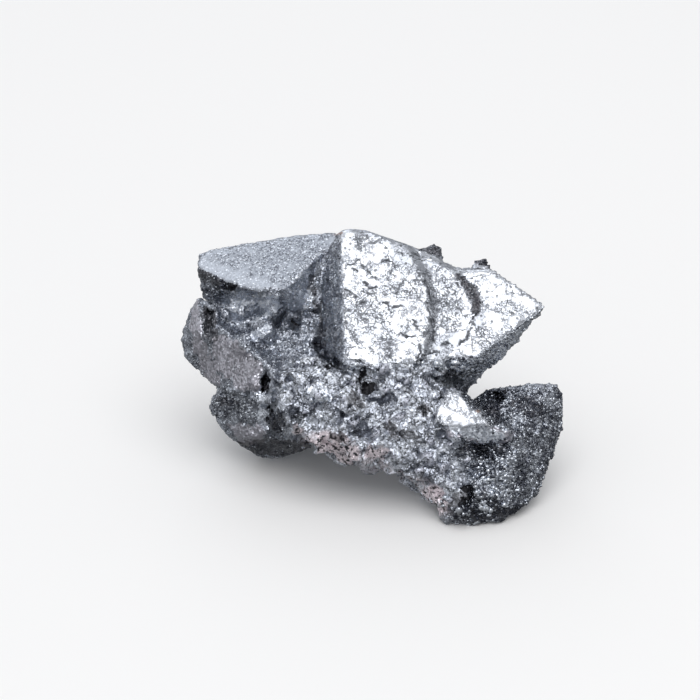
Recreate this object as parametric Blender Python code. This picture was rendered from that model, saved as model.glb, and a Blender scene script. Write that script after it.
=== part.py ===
"""Hematite pseudomorph after magnetite: one hand-sized cluster of octahedral crystals, grown together.

The cluster is laid out face on, in millimetres: +X across, +Z up and +Y away from its display side. It then
leans back by LEAN, is cut flat under its feet, and is moved so that its origin is at the bottom centre. Every
crystal is the convex hull of its corners, and a Boolean union makes them one solid.
"""

import math
import random

import bmesh
import bpy
from mathutils import Euler, Matrix, Vector
from mathutils.bvhtree import BVHTree

MM = 0.001
LEAN = math.radians(30.0)  # the display side looks this far above the horizon
FLOOR_Z = -17.2  # height of the flat that its feet stand on, after leaning back
SEED = 41
GOLDEN_ANGLE = 2.39996
FAR = 80.0  # well outside the cluster
TO_THE_BACK = Vector((0.0, 1.0, 0.0))
TO_THE_FRONT = Vector((0.0, -0.94, -0.34))

# The bright crystal's face is a plane through FACE_TOP, which comes forward going down.
FACE_TOP = (-5.2, -4.0, 25.8)
FACE_RISE = 0.36  # mm forward for each mm down
FACE_TURN = 0.05  # mm back for each mm to the right
LEDGE = 1.1  # step from one growth plate of that face down to the next
BEVEL = 1.2  # how far the step's side leans outwards

# Outlines of two growth plates on that face, as (x, z). Their right-hand sides are the curved ledges.
UPPER_PLATE = (
    (-5.2, 25.8), (-0.9, 25.5), (6.5, 22.6), (9.2, 17.8), (10.4, 13.9), (10.6, 9.8),
    (8.6, 2.0), (2.0, 0.6), (-4.4, 2.6),
)
MIDDLE_PLATE = (
    (-4.0, 24.0), (8.6, 22.2), (14.6, 18.6), (17.6, 15.4), (18.7, 12.0), (17.9, 8.2),
    (14.6, 3.6), (9.0, 0.4), (-3.0, 3.0),
)
BEHIND_UPPER_PLATE = (
    (-8.8, -1.6, 18.4), (-9.2, -3.4, 6.0), (-6.0, 6.0, 22.0), (6.0, 10.0, 16.0), (0.0, 6.0, 0.0),
)
BEHIND_MIDDLE_PLATE = ((4.0, 10.0, 16.0), (12.0, 8.0, 4.0))

# The other large crystals, by their corners.
CRYSTALS = {
    "bright_tip": (
        (30.4, -6.2, 12.4), (21.2, -4.0, 18.9), (17.8, -9.6, 3.0), (9.0, -4.0, 18.0), (10.0, -10.0, 3.0),
        (26.2, -3.6, 7.0), (22.7, -1.6, 3.0), (14.8, 3.6, -1.6), (9.0, 8.0, 19.0), (15.0, 13.0, 10.0),
        (8.0, 6.0, -1.0),
    ),
    "plateau": (
        (-30.2, -0.4, 19.2), (-29.8, 2.0, 21.2), (-28.0, 3.8, 22.4), (-13.4, 3.6, 24.8), (-5.4, 1.6, 25.4),
        (-7.6, -1.6, 22.0), (-14.6, -9.6, 15.2), (-18.8, -8.8, 14.8), (-24.2, -6.2, 15.8),
        (-29.2, 3.0, 13.6), (-22.0, -1.0, 12.4), (-12.0, -3.0, 11.5), (-24.0, 13.0, 12.0), (-8.0, 14.0, 15.0),
    ),
    "recess_floor": (
        (-28.0, 2.0, 14.0), (-9.0, 0.0, 14.0), (-8.0, -4.0, 3.0), (-15.0, -7.0, 0.0), (-24.0, -1.5, 6.0),
        (-26.0, 12.0, 10.0), (-6.0, 12.0, 14.0), (-6.0, 12.0, -4.0), (-22.0, 10.0, -2.0),
    ),
    "left_ridge": (
        (-26.0, -4.6, 8.9), (-20.8, -7.2, 5.0), (-16.0, -9.4, 1.0), (-27.6, -1.6, 4.4), (-17.0, -8.2, -4.6),
        (-24.4, -3.0, -3.0), (-29.0, 2.6, -0.2), (-14.0, -2.0, 4.0), (-24.0, 2.0, 9.5), (-26.0, 10.0, 3.0),
        (-12.0, 6.0, -4.0),
    ),
    "left_shoulder": (
        (-29.8, -0.6, 13.8), (-31.2, 1.0, 12.2), (-33.1, 3.0, 6.6), (-32.6, 3.4, 3.4), (-29.2, 2.6, 0.0),
        (-26.4, 1.4, -1.6), (-30.0, -2.2, 8.0), (-26.4, -3.4, 12.2), (-27.0, -3.4, 6.0), (-24.0, -2.0, 0.5),
        (-28.0, 10.0, 10.0), (-26.0, 12.0, 2.0),
    ),
    "lower_left": (
        (-26.6, 2.0, -1.6), (-28.4, 4.6, -5.4), (-25.2, 5.0, -10.2), (-20.4, 8.4, -13.8), (-17.0, 9.6, -14.8),
        (-10.2, 5.0, -12.6), (-22.0, -3.2, -4.2), (-16.0, -4.4, -6.0), (-19.0, -1.6, -10.2),
        (-12.4, 0.4, -11.0), (-14.0, 14.0, -10.0), (-24.0, 15.0, -4.0), (-10.0, 6.0, -2.0),
    ),
    "small_bright": (
        (13.4, -11.4, -1.8), (11.2, -14.2, -7.8), (20.2, -13.2, -8.0), (25.2, -11.2, -10.4),
        (14.4, -12.0, -11.6), (16.0, -2.0, -2.4), (12.0, -4.0, -14.0), (24.0, -3.0, -12.0),
    ),
    "right_block": (
        (20.8, -4.4, -1.9), (29.8, -2.8, -0.9), (32.6, -1.4, -1.2), (33.5, -0.4, -3.6), (33.4, -1.8, -9.4),
        (25.4, -10.8, -10.4), (30.2, -4.2, -17.4), (28.8, -5.4, -20.6), (25.4, -8.4, -22.9),
        (17.0, -11.6, -21.0), (21.0, -12.0, -17.0), (24.0, 8.0, -4.0), (20.0, 9.0, -14.0), (17.0, 2.0, -4.6),
        (15.0, 2.0, -18.0),
    ),
    "right_foot": (
        (11.6, -8.6, -24.0), (15.6, -9.6, -25.7), (22.0, -9.4, -24.8), (25.8, -7.0, -23.0), (14.0, -13.4, -19.0),
        (21.0, -12.6, -20.0), (12.0, 0.0, -16.0), (24.0, 1.0, -16.0), (10.0, -9.0, -14.0),
    ),
    "skyline_block": (
        (7.6, 1.5, 21.6), (9.6, 2.5, 23.0), (11.3, 2.5, 23.4), (12.4, 2.2, 22.9), (12.7, 2.0, 20.8),
        (8.0, 0.0, 18.0), (13.0, 0.0, 17.0), (10.0, 7.0, 19.0), (12.0, 6.0, 17.0),
    ),
    "skyline_knob": (
        (17.6, 0.5, 19.6), (18.6, 1.0, 20.3), (19.8, 1.0, 20.6), (20.8, 1.0, 19.9), (21.2, 0.6, 18.7),
        (18.0, -2.0, 16.0), (21.0, -1.0, 16.0), (19.0, 4.0, 17.0),
    ),
}

# Octahedral crystals, mostly on the back: (centre, half-axes, turn in degrees). The turn about Z comes first,
# then the one about Y, then the one about X, so the two feet, which lean by LEAN, each stand on one corner.
OCTAHEDRA = {
    "back_summit": ((-6.0, 9.0, 11.0), (13.0, 13.0, 13.4), (-14, 8, 30)),
    "back_right": ((9.0, 12.0, 6.0), (13.0, 12.0, 11.0), (10, -12, 18)),
    "back_left": ((-15.0, 12.0, 4.0), (13.0, 12.0, 12.0), (12, 16, 50)),
    "back_foot_right": ((7.5, 13.4, -1.5), (9.0, 11.0, 10.2), (30, 0, 40)),
    "back_foot_left": ((-10.6, 12.6, 0.4), (11.0, 11.0, 11.8), (30, 0, 55)),
    "recess_lump": ((-22.4, -1.2, 11.8), (3.2, 2.6, 3.2), (20, 10, 10)),
    "recess_block": ((-16.8, -3.2, 12.6), (3.0, 3.4, 3.0), (40, 20, 10)),
    "recess_slab": ((-18.4, -4.0, 7.6), (3.6, 2.4, 3.0), (10, 40, 0)),
}

# The crumbly ground that the crystals share: (centre, radii) of each mass.
GROUND = (
    ((-11.0, -2.0, -3.0), (8.0, 9.0, 8.0)),
    ((-3.0, -3.0, -6.0), (10.0, 10.5, 9.4)),
    ((4.0, -2.4, -2.6), (10.0, 11.0, 6.0)),
    ((6.4, -3.6, -9.6), (10.0, 10.0, 8.6)),
    ((12.4, -4.6, -13.4), (8.4, 7.8, 8.0)),
    ((2.0, 6.0, 2.0), (18.0, 10.0, 14.0)),
)

# Crumbs and small crystals: (kind, middle as x and z, direction looked along, radius, count, sizes from, to).
PATCHES = (
    ("crumb", (-6.0, -8.0), TO_THE_BACK, 8.5, 44, 1.4, 2.7),
    ("crumb", (-11.0, -1.5), TO_THE_BACK, 5.0, 16, 1.3, 2.5),
    ("crumb", (5.5, -9.5), TO_THE_BACK, 9.5, 42, 1.4, 2.8),
    ("crumb", (0.0, -3.6), TO_THE_BACK, 6.0, 20, 1.3, 2.3),
    ("crumb", (10.5, -1.6), TO_THE_BACK, 4.6, 14, 1.2, 2.2),
    ("crumb", (13.0, -18.0), TO_THE_BACK, 7.0, 18, 1.3, 2.4),
    ("crumb", (-16.5, 8.0), TO_THE_BACK, 7.0, 18, 1.3, 2.6),
    ("octahedron", (25.0, -15.0), TO_THE_BACK, 9.0, 34, 1.0, 1.9),
    ("octahedron", (-21.0, -7.0), TO_THE_BACK, 6.5, 24, 1.0, 1.9),
    ("octahedron", (0.0, 2.0), TO_THE_FRONT, 20.0, 34, 2.2, 5.0),
    ("crumb", (0.0, 2.0), TO_THE_FRONT, 12.0, 8, 1.8, 3.0),
)
SUNK = 0.35  # how deep a crumb's middle lies, as a share of its size

# Hollows: (middle as x and z, half width, half height, depth).
PITS = (
    ((-13.0, 9.2), 1.0, 1.4, 1.8),
    ((-8.6, 11.0), 0.7, 6.0, 2.0),
    ((-9.0, 5.6), 1.2, 1.6, 2.0),
    ((-7.0, 2.1), 2.0, 1.0, 1.6),
    ((-18.0, -1.6), 0.7, 2.2, 2.2),
    ((-21.4, -3.2), 0.8, 1.3, 1.4),
    ((-1.6, 1.4), 1.5, 0.7, 1.6),
    ((0.4, -0.6), 0.8, 1.9, 2.4),
    ((8.7, -5.7), 1.3, 1.0, 1.8),
    ((21.8, -3.4), 1.5, 1.3, 2.2),
    ((24.2, -2.6), 1.4, 1.1, 1.6),
    ((16.7, -20.4), 1.2, 3.0, 1.8),
    ((-28.0, 9.0), 1.0, 3.2, 1.8),
    ((-12.0, -7.4), 1.1, 0.8, 1.6),
    ((-4.6, -11.4), 1.2, 0.8, 1.6),
    ((3.2, -14.6), 1.1, 0.9, 1.6),
    ((13.4, -14.4), 1.6, 1.0, 1.8),
)

SURFACE_GREY = (0.115, 0.118, 0.130, 1.0)
SURFACE_METALLIC = 0.85
SURFACE_ROUGHNESS = 0.38


def face_y(x, z):
    """Depth of the bright crystal's face at x, z."""
    top_x, top_y, top_z = FACE_TOP
    return top_y - FACE_RISE * (top_z - z) + FACE_TURN * (x - top_x)


def plate_corners(outline, sunk):
    """Corners of a growth plate: its outline on the bright face, and behind it one with the ledge leaning out."""
    middle_x = sum(x for x, _ in outline) / len(outline)
    corners = [(x, face_y(x, z) + sunk, z) for x, z in outline]
    for x, z in outline:
        lean_out = BEVEL if x > middle_x else 0.0
        corners.append((x + lean_out, face_y(x, z) + sunk + 2.0 * BEVEL, z))
    return corners


def octahedron_corners(centre, half_axes, turn):
    turned = Euler(turn, "ZYX").to_matrix()
    corners = []
    for axis in range(3):
        for side in (-1, 1):
            point = Vector((0.0, 0.0, 0.0))
            point[axis] = side * half_axes[axis]
            corners.append(Vector(centre) + turned @ point)
    return corners


def crumb_corners(centre, radii, draw, points=10):
    """Corners of a broken lump: an uneven spiral of points over an ellipsoid, turned at random."""
    turned = Euler([draw.uniform(0, math.tau) for _ in range(3)]).to_matrix()
    corners = []
    for number in range(points):
        height = 1.0 - 2.0 * (number + 0.5) / points
        angle = GOLDEN_ANGLE * number + draw.uniform(-0.4, 0.4)
        flat = math.sqrt(1.0 - height * height)
        point = turned @ Vector((flat * math.cos(angle), flat * math.sin(angle), height))
        point *= draw.uniform(0.8, 1.1)
        corners.append(Vector(centre) + Vector([p * r for p, r in zip(point, radii)]))
    return corners


def large_pieces(draw):
    """Corner lists of all the large crystals and of the ground between them."""
    pieces = dict(CRYSTALS)
    pieces["upper_plate"] = plate_corners(UPPER_PLATE, 0.0) + list(BEHIND_UPPER_PLATE)
    pieces["middle_plate"] = plate_corners(MIDDLE_PLATE, LEDGE) + list(BEHIND_MIDDLE_PLATE)
    for name, (centre, half_axes, turn) in OCTAHEDRA.items():
        pieces[name] = octahedron_corners(centre, half_axes, [math.radians(angle) for angle in turn])
    for number, (centre, radii) in enumerate(GROUND):
        pieces[f"ground_{number}"] = crumb_corners(centre, radii, draw, points=40)
    return pieces


def hull(corners):
    """The convex hull of these points, as a closed bmesh."""
    bm = bmesh.new()
    for corner in corners:
        bm.verts.new(corner)
    made = bmesh.ops.convex_hull(bm, input=bm.verts)
    loose = {v for v in made["geom_interior"] + made["geom_unused"] if isinstance(v, bmesh.types.BMVert)}
    bmesh.ops.delete(bm, geom=list(loose), context="VERTS")
    return bm


def surface_of(pieces):
    """A tree of all these hulls, to find where a line meets the outside."""
    points, faces = [], []
    for corners in pieces:
        bm = hull(corners)
        bm.verts.index_update()
        faces += [[v.index + len(points) for v in face.verts] for face in bm.faces]
        points += [v.co.copy() for v in bm.verts]
        bm.free()
    return BVHTree.FromPolygons(points, faces)


def inside_outline(surface, point):
    """Whether the large crystals cover this point, seen from the display side."""
    return surface.ray_cast(Vector((point.x, -FAR, point.z)), TO_THE_BACK)[0] is not None


def patch_pieces(surface, draw):
    """Corner lists of the crumbs and small crystals, each sunk a little where a line meets the large ones."""
    pieces = {}
    for kind, (x, z), along, radius, count, smallest, largest in PATCHES:
        side = along.orthogonal().normalized()
        up = along.cross(side)
        for _ in range(count):
            angle = draw.uniform(0, math.tau)
            reach = radius * math.sqrt(draw.random())
            aside = reach * (math.cos(angle) * side + math.sin(angle) * up)
            start = Vector((x, 0.0, z)) + aside - FAR * along
            size = draw.uniform(smallest, largest)
            turn = [draw.gauss(0.6, 0.25) for _ in range(3)]
            met = surface.ray_cast(start, along)[0]
            if met is None:
                continue
            centre = met + SUNK * size * along
            if kind == "crumb":
                corners = crumb_corners(centre, [size * draw.uniform(0.7, 1.2) for _ in range(3)], draw)
            else:
                corners = octahedron_corners(centre, [size] * 3, turn)
            may_show = kind == "crumb" and along == TO_THE_BACK
            if may_show or all(inside_outline(surface, corner) for corner in corners):
                pieces[f"{kind}_{len(pieces)}"] = corners
    return pieces


def pit_pieces(surface, draw):
    """Corner lists of the hollows, each centred where a line to the back meets the large crystals."""
    pieces = {}
    for number, ((x, z), half_width, half_height, depth) in enumerate(PITS):
        met = surface.ray_cast(Vector((x, -FAR, z)), TO_THE_BACK)[0]
        pieces[f"pit_{number}"] = crumb_corners(met, (half_width, depth, half_height), draw, points=16)
    return pieces


def new_collection(name):
    collection = bpy.data.collections.new(name)
    bpy.context.scene.collection.children.link(collection)
    return collection


def add_object(name, bm, collection):
    """A helper object, which isn't drawn, from a bmesh in metres."""
    mesh = bpy.data.meshes.new(name)
    bm.to_mesh(mesh)
    bm.free()
    obj = bpy.data.objects.new(name, mesh)
    obj.hide_render = True
    obj.display_type = "WIRE"
    collection.objects.link(obj)
    return obj


def add_pieces(pieces, collection):
    """The hull of each corner list, leaned back, as an object of this collection."""
    laid_back = Matrix.Scale(MM, 4) @ Matrix.Rotation(-LEAN, 4, "X")
    for name, corners in pieces.items():
        bm = hull(corners)
        bm.transform(laid_back)
        add_object(name, bm, collection)


def add_floor_block(collection):
    """The block whose top cuts the flat under the feet."""
    bm = bmesh.new()
    size = 2.0 * FAR * MM
    bmesh.ops.create_cube(bm, size=size, matrix=Matrix.Translation((0.0, 0.0, FLOOR_Z * MM - size / 2)))
    add_object("floor_block", bm, collection)


def add_boolean(obj, name, operation, collection):
    modifier = obj.modifiers.new(name, "BOOLEAN")
    modifier.operation = operation
    modifier.operand_type = "COLLECTION"
    modifier.collection = collection
    modifier.solver = "EXACT"


def bodies_of(bm):
    """The vertices of each connected body, smallest body first."""
    bodies, left = [], set(bm.verts)
    while left:
        body, edge = set(), [left.pop()]
        while edge:
            vert = edge.pop()
            body.add(vert)
            for other in [e.other_vert(vert) for e in vert.link_edges]:
                if other in left:
                    left.remove(other)
                    edge.append(other)
        bodies.append(body)
    return sorted(bodies, key=len)


def tidy(mesh):
    """Keeps the main body, without the chips that the pits cut loose, and stands it on the origin."""
    bm = bmesh.new()
    bm.from_mesh(mesh)
    chips = [vert for body in bodies_of(bm)[:-1] for vert in body]
    bmesh.ops.delete(bm, geom=chips, context="VERTS")
    bmesh.ops.dissolve_degenerate(bm, dist=MM / 1000, edges=bm.edges)
    bmesh.ops.triangulate(bm, faces=bm.faces)
    low = [min(v.co[axis] for v in bm.verts) for axis in range(3)]
    high = [max(v.co[axis] for v in bm.verts) for axis in range(3)]
    bottom_centre = Vector(((low[0] + high[0]) / 2, (low[1] + high[1]) / 2, low[2]))
    bmesh.ops.translate(bm, verts=bm.verts, vec=-bottom_centre)
    bm.to_mesh(mesh)
    bm.free()


def hematite_material():
    material = bpy.data.materials.new("hematite")
    material.use_nodes = True
    shader = material.node_tree.nodes["Principled BSDF"]
    shader.inputs["Base Color"].default_value = SURFACE_GREY
    shader.inputs["Metallic"].default_value = SURFACE_METALLIC
    shader.inputs["Roughness"].default_value = SURFACE_ROUGHNESS
    return material


def main():
    for obj in list(bpy.data.objects):
        bpy.data.objects.remove(obj)
    shown = new_collection("hematite_pseudomorph")
    grown = new_collection("grown_together")
    cut = new_collection("cut_away")

    draw = random.Random(SEED)
    large = large_pieces(draw)
    surface = surface_of(large.values())
    add_pieces({**large, **patch_pieces(surface, draw)}, grown)
    add_pieces(pit_pieces(surface, draw), cut)
    add_floor_block(cut)

    first = grown.objects["ground_0"]
    grown.objects.unlink(first)
    shown.objects.link(first)
    add_boolean(first, "grown_together", "UNION", grown)
    add_boolean(first, "cut_away", "DIFFERENCE", cut)
    graph = bpy.context.evaluated_depsgraph_get()
    mesh = bpy.data.meshes.new_from_object(first.evaluated_get(graph))
    bpy.data.objects.remove(first)

    tidy(mesh)
    mesh.name = "hematite_cluster"
    mesh.materials.clear()
    mesh.materials.append(hematite_material())
    shown.objects.link(bpy.data.objects.new("hematite_cluster", mesh))


main()
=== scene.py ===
"""Dresses the hematite cluster: its crystal faces, frosting, crumbs and fine druse, on a pale studio floor.

Laid out as a Blender add-on and run as a script. Lengths are in metres unless a name or a comment says mm.
"Face on" is the cluster held upright: +X across, +Z up and -Y towards the viewer, before it leans back on its
feet.
"""

import math

import bpy
import bmesh
import numpy as np
from bpy.props import FloatProperty, FloatVectorProperty, IntProperty, PointerProperty
from mathutils import Matrix, Vector, noise


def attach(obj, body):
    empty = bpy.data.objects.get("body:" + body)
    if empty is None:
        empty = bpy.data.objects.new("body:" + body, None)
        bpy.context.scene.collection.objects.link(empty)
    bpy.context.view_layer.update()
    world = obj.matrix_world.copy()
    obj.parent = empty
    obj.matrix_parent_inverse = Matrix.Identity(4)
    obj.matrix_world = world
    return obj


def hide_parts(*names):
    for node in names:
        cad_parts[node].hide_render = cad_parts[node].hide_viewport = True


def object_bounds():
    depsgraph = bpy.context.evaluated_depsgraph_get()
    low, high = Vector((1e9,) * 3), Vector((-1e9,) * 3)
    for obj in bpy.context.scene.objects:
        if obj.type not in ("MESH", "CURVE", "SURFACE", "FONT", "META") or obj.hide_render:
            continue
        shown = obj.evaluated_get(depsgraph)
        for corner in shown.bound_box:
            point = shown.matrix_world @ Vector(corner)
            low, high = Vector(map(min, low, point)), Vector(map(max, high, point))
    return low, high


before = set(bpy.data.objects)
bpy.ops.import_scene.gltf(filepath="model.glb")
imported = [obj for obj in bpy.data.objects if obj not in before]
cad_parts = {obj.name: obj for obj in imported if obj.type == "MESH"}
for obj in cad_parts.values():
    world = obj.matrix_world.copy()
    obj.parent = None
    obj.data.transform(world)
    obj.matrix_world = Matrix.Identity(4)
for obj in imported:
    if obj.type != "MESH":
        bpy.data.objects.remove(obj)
CAD_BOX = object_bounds()

bl_info = {
    "name": "Hematite Cluster",
    "version": (1, 0, 0),
    "blender": (4, 5, 0),
    "location": "3D View > Sidebar > Hematite",
    "description": "Finishes a cluster of hematite crystals: bright faces, frosted faces, crumbs and druse",
    "category": "Object",
}

NODE = "hematite_cluster"
CLUSTER = "finished_cluster"
MOST_TRIANGLES = 190000
CRUMB_SHAPES = 6
CRUMB_CORNERS = 9
LUMP_CORNERS = 16
MM = 0.001
PER_MM = 1000.0

# Seeds: of the wandering noise, and of each kind of small piece.
NOISE_SEED = 3
DRUSE_SEED = 11
CRUMB_SEED = 23
LUMP_SEED = 31
CHIP_SEED = 5

LEAN = math.radians(30.0)
FACE_ON_ORIGIN = Vector((-0.2, -0.87, 17.2))  # the face-on origin, in the frame's axes, in mm
FACE_NORMAL = Vector((0.047, -0.939, 0.338))  # the growth faces that all the crystals share, face on
PLATEAU_NORMAL = Vector((-0.146, -0.607, 0.781))
BACK_BRIGHT_NORMAL = Vector((0.1, 0.85, -0.5))
BACK_SATIN_NORMALS = (Vector((-0.8, 0.5, 0.3)), Vector((0.55, 0.6, 0.58)), Vector((0.0, 0.5, -0.86)))

# Finishes that the panel doesn't change.
# Painted highlight: the light colour that random grains of the dark faces take, as glints.
GLINT = (0.8, 0.85, 0.95, 1.0)
# Ground colours: the dark end for dark tones and painted shade in low places, the light end for pale tones and
# painted light on high places.
GROUND_DARK_AND_SHADED = (0.29, 0.315, 0.385, 1.0)
GROUND_PALE_AND_LIT = (0.88, 0.92, 1.0, 1.0)
# Painted highlight: the lighter colour of the ground grains that turn towards the light.
LIT_GRAIN = (0.7, 0.745, 0.85, 1.0)
GRIT = (0.09, 0.095, 0.115, 1.0)
# Painted shade in the gaps between clods.
GAP_SHADE = (0.04, 0.043, 0.052, 1.0)
PORE = (0.05, 0.05, 0.055, 1.0)
FROST_DOT = (0.13, 0.14, 0.17, 1.0)
CRACK = (0.045, 0.048, 0.058, 1.0)
RUST = (0.24, 0.14, 0.1, 1.0)
SHADE = (0.07, 0.065, 0.07, 1.0)
# Painted shade in the hollows.
HOLLOW_SHADE = (0.03, 0.03, 0.035, 1.0)
# The ends of the small crystals' face tones, which hold painted glints and painted shade.
DRUSE_DARK = (0.065, 0.07, 0.09, 1.0)
DRUSE_LIGHT = (0.88, 0.925, 1.0, 1.0)
CRUMB_DARK = (0.34, 0.35, 0.41, 1.0)
CRUMB_LIGHT = (0.86, 0.885, 1.0, 1.0)
CRUMB_PORE = (0.06, 0.06, 0.068, 1.0)
FLOOR_GREY = (0.92, 0.912, 0.91, 1.0)

# Grains drawn on the surface: how many to a metre, and how far each tilts.
FACE_GRAINS = {"Scale": 3400.0, "Tilt": 0.9}
MIRROR_GRAINS = {"Scale": 2300.0, "Tilt": 0.22}
FROST_GRAINS = {"Scale": 4200.0, "Tilt": 0.5}
GROUND_GRAINS = {"Scale": 4200.0, "Tilt": 0.55}
CRUMB_GRAINS = {"Scale": 3600.0, "Tilt": 0.4}
DRUSE_GRAINS = {"Scale": 5000.0, "Tilt": 0.1}

# Kinds of surface that the finish reads: some with a soft edge, the others with an edge this ragged.
SOFT_ZONES = ("crumbly", "worn", "warm", "slope", "high", "band", "line", "small_face", "rust", "ledge")
RAGGED_ZONES = {
    "mirror": 1.2, "frost": 0.6, "pale": 1.2, "hollow": 1.0,
    "dull": 1.2, "white": 1.3, "satin": 1.0, "dark": 1.7,
}
# Kinds of surface that the small crystals depend on.
DRUSE_ZONES = (
    "mirror", "frost", "crumbly", "satin", "hollow", "coarse",
    "sparkly", "underside", "ledge", "dark", "slope", "rim",
)

# Patterns drawn on the surface: how many of their cells there are to a metre.
LARGE_CLODS = 400.0
SMALL_CLODS = 1150.0
LONG_CRACKS = 190.0
SHORT_CRACKS = 800.0
RINGED_PITS = 1150.0

# The deep groove at the left of the large bright face, face on, in mm: where it lies, and the floor it gets.
GROOVE_ACROSS = (-11.5, -7.5)
GROOVE_UP = (11.5, 20.0)
GROOVE_BACK = 6.0
GROOVE_FLOOR = -2.8

# What the camera looks at, to the right of the face-on origin and above it, in mm.
VIEW_SHIFT = (-3.48, 4.70)

# Places on the front, face on, in mm: (middle x, middle z, half width, half height, turn in degrees).
CRUMBLY_PATCHES = (
    (-6.0, -8.0, 8.5, 8.0, 0.0), (-11.0, -1.5, 5.5, 5.0, 0.0), (5.5, -9.5, 9.0, 9.0, 0.0),
    (0.0, -3.6, 8.0, 5.0, 0.0), (10.5, -1.6, 4.6, 4.0, 0.0), (11.0, -18.0, 5.5, 6.0, 20.0),
    (3.0, 1.4, 9.5, 2.2, 0.0),
)
HOLLOWS = (
    (-1.4, 0.6, 0.5, 1.6, 0.0), (-0.2, -1.6, 1.5, 0.7, -10.0), (-12.8, 9.4, 1.0, 0.35, -38.0),
    (-9.0, 5.9, 0.5, 0.4, 0.0), (-7.0, 1.9, 0.7, 0.55, 0.0), (-18.0, -0.9, 0.6, 1.9, 0.0),
    (-17.3, -6.3, 0.3, 1.5, 0.0), (-24.5, 15.7, 1.3, 0.8, -20.0), (-28.3, 11.3, 0.8, 0.45, 0.0),
    (21.9, -2.8, 1.7, 1.4, 0.0), (16.2, -20.2, 1.2, 2.5, 0.0),
)
WARM_PATCHES = (
    (-12.4, -9.2, 1.2, 0.9, 0.0), (-6.0, -12.7, 5.2, 3.2, -30.0), (1.0, -12.6, 1.9, 1.2, 0.0),
    (10.6, -21.6, 2.6, 3.2, 20.0),
)
SATIN_OUTLINES = (
    (
        (-30.9, 12.6), (-29.5, 13.9), (-29.3, 8.5), (-27.8, 3.9),
        (-25.8, -1.5), (-28.8, -0.5), (-30.6, 4.0), (-31.2, 8.7),
    ),
    ((-26.5, 7.5), (-23.5, 6.6), (-18.5, 2.2), (-18.8, -2.0), (-22.0, -2.3), (-26.5, 1.0), (-27.8, 4.5)),
    ((-25.5, -8.3), (-18.5, -8.3), (-18.0, -11.4), (-22.0, -12.2)),
    ((13.0, -8.2), (19.5, -8.2), (25.0, -9.4), (23.4, -11.2), (17.0, -10.8), (13.0, -10.2)),
)
WHITE_PATCHES = (
    (-10.3, -1.9, 0.8, 0.8, 0.0), (-7.4, -3.0, 1.1, 0.8, 0.0), (-11.6, -5.4, 0.8, 0.7, 0.0),
    (-2.7, 2.2, 1.8, 0.5, 0.0), (-3.7, 1.1, 0.6, 1.3, 0.0), (-1.1, 1.8, 0.35, 0.9, 0.0),
    (-0.3, -5.7, 1.0, 0.6, 30.0), (-3.6, -6.9, 1.1, 0.7, 0.0), (5.4, -7.1, 1.4, 0.6, -15.0),
    (7.4, -13.0, 1.5, 1.2, 30.0), (9.7, -15.8, 1.6, 0.8, -20.0), (13.3, -13.9, 1.2, 0.9, 0.0),
    (8.4, -2.2, 1.3, 0.9, 0.0), (4.0, -1.2, 0.9, 1.1, 20.0), (17.2, -13.2, 0.7, 0.5, 0.0),
    (2.0, 2.0, 1.3, 0.7, 0.0), (10.6, -12.0, 1.0, 0.6, 20.0), (0.6, -10.6, 1.0, 0.6, 0.0),
)
CHIP_PATCHES = (
    (-2.8, 1.65, 1.7, 1.0, 0.0), (-8.7, -3.0, 2.4, 1.3, -10.0), (5.9, -4.5, 1.1, 0.9, 0.0),
    (1.4, -5.2, 1.1, 0.9, 0.0), (13.0, -21.0, 1.3, 1.0, 0.0), (15.3, -23.1, 1.5, 1.4, 0.0),
    (23.8, -12.2, 0.9, 0.6, 0.0), (13.0, 2.2, 4.0, 0.9, 0.0),
)
APEXES = ((-4.9, 25.6, 1.3, 1.0, 0.0), (-31.0, 19.2, 1.2, 1.0, 0.0))
RUST_SPOTS = ((-5.7, 25.1, 0.6, 0.5, 0.0), (18.4, -5.7, 0.35, 0.35, 0.0))
PALE_PATCHES = (
    (-16.8, 12.8, 1.5, 1.5, 0.0), (-11.7, 13.9, 0.9, 0.9, 0.0), (-19.0, 7.7, 2.4, 0.9, 30.0),
    (-2.8, 1.7, 1.7, 1.0, 0.0), (-8.7, -3.0, 2.3, 1.3, -10.0), (-18.7, -5.4, 0.9, 2.8, 0.0),
    (18.0, -9.3, 5.2, 1.3, -12.0),
)
DARK_PATCHES = (
    (27.5, -5.0, 3.4, 1.5, -20.0), (21.0, -5.8, 1.8, 2.4, 0.0), (19.0, -12.9, 4.2, 1.8, 0.0),
    (17.6, -22.0, 4.5, 3.2, 0.0), (25.0, -23.5, 5.5, 1.5, 0.0), (-17.0, -12.6, 6.8, 1.9, 0.0),
    (-26.5, 17.0, 3.6, 1.7, -20.0), (-27.9, 9.3, 1.4, 3.3, 12.0), (-9.8, 14.5, 0.7, 3.6, 12.0),
    (10.3, 22.2, 2.6, 1.4, 0.0), (19.8, 19.7, 1.6, 1.3, 0.0), (15.1, 3.4, 1.6, 0.8, 0.0),
    (15.5, 0.9, 3.6, 0.8, 0.0), (-2.9, -3.6, 0.9, 1.4, 20.0), (-1.6, -4.6, 1.1, 0.7, -30.0),
    (8.9, -5.5, 1.4, 1.2, 0.0), (3.6, -8.8, 0.8, 1.6, 35.0), (6.8, -9.6, 1.8, 0.5, -25.0),
    (-5.5, -9.8, 1.6, 0.6, -20.0), (-24.9, -4.2, 2.2, 0.8, 0.0), (-16.0, -7.8, 1.8, 1.8, 0.0),
    (-20.5, -12.9, 4.5, 1.6, -8.0), (-8.5, 8.0, 0.7, 3.2, 4.0),
)
SPARKLE_PATCHES = (
    (-25.8, -4.8, 3.6, 3.0, 0.0), (-21.5, -5.5, 1.8, 2.2, 0.0), (-15.3, -7.6, 2.4, 2.2, 0.0),
    (-30.5, -0.5, 2.6, 3.4, 30.0), (-26.8, 15.8, 2.6, 2.2, 0.0),
)
COARSE_DRUSE = (
    (20.8, -17.5, 3.4, 5.5, 0.0), (17.5, -22.5, 3.0, 2.0, 0.0), (18.5, -15.5, 2.0, 1.5, 0.0),
)
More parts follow.
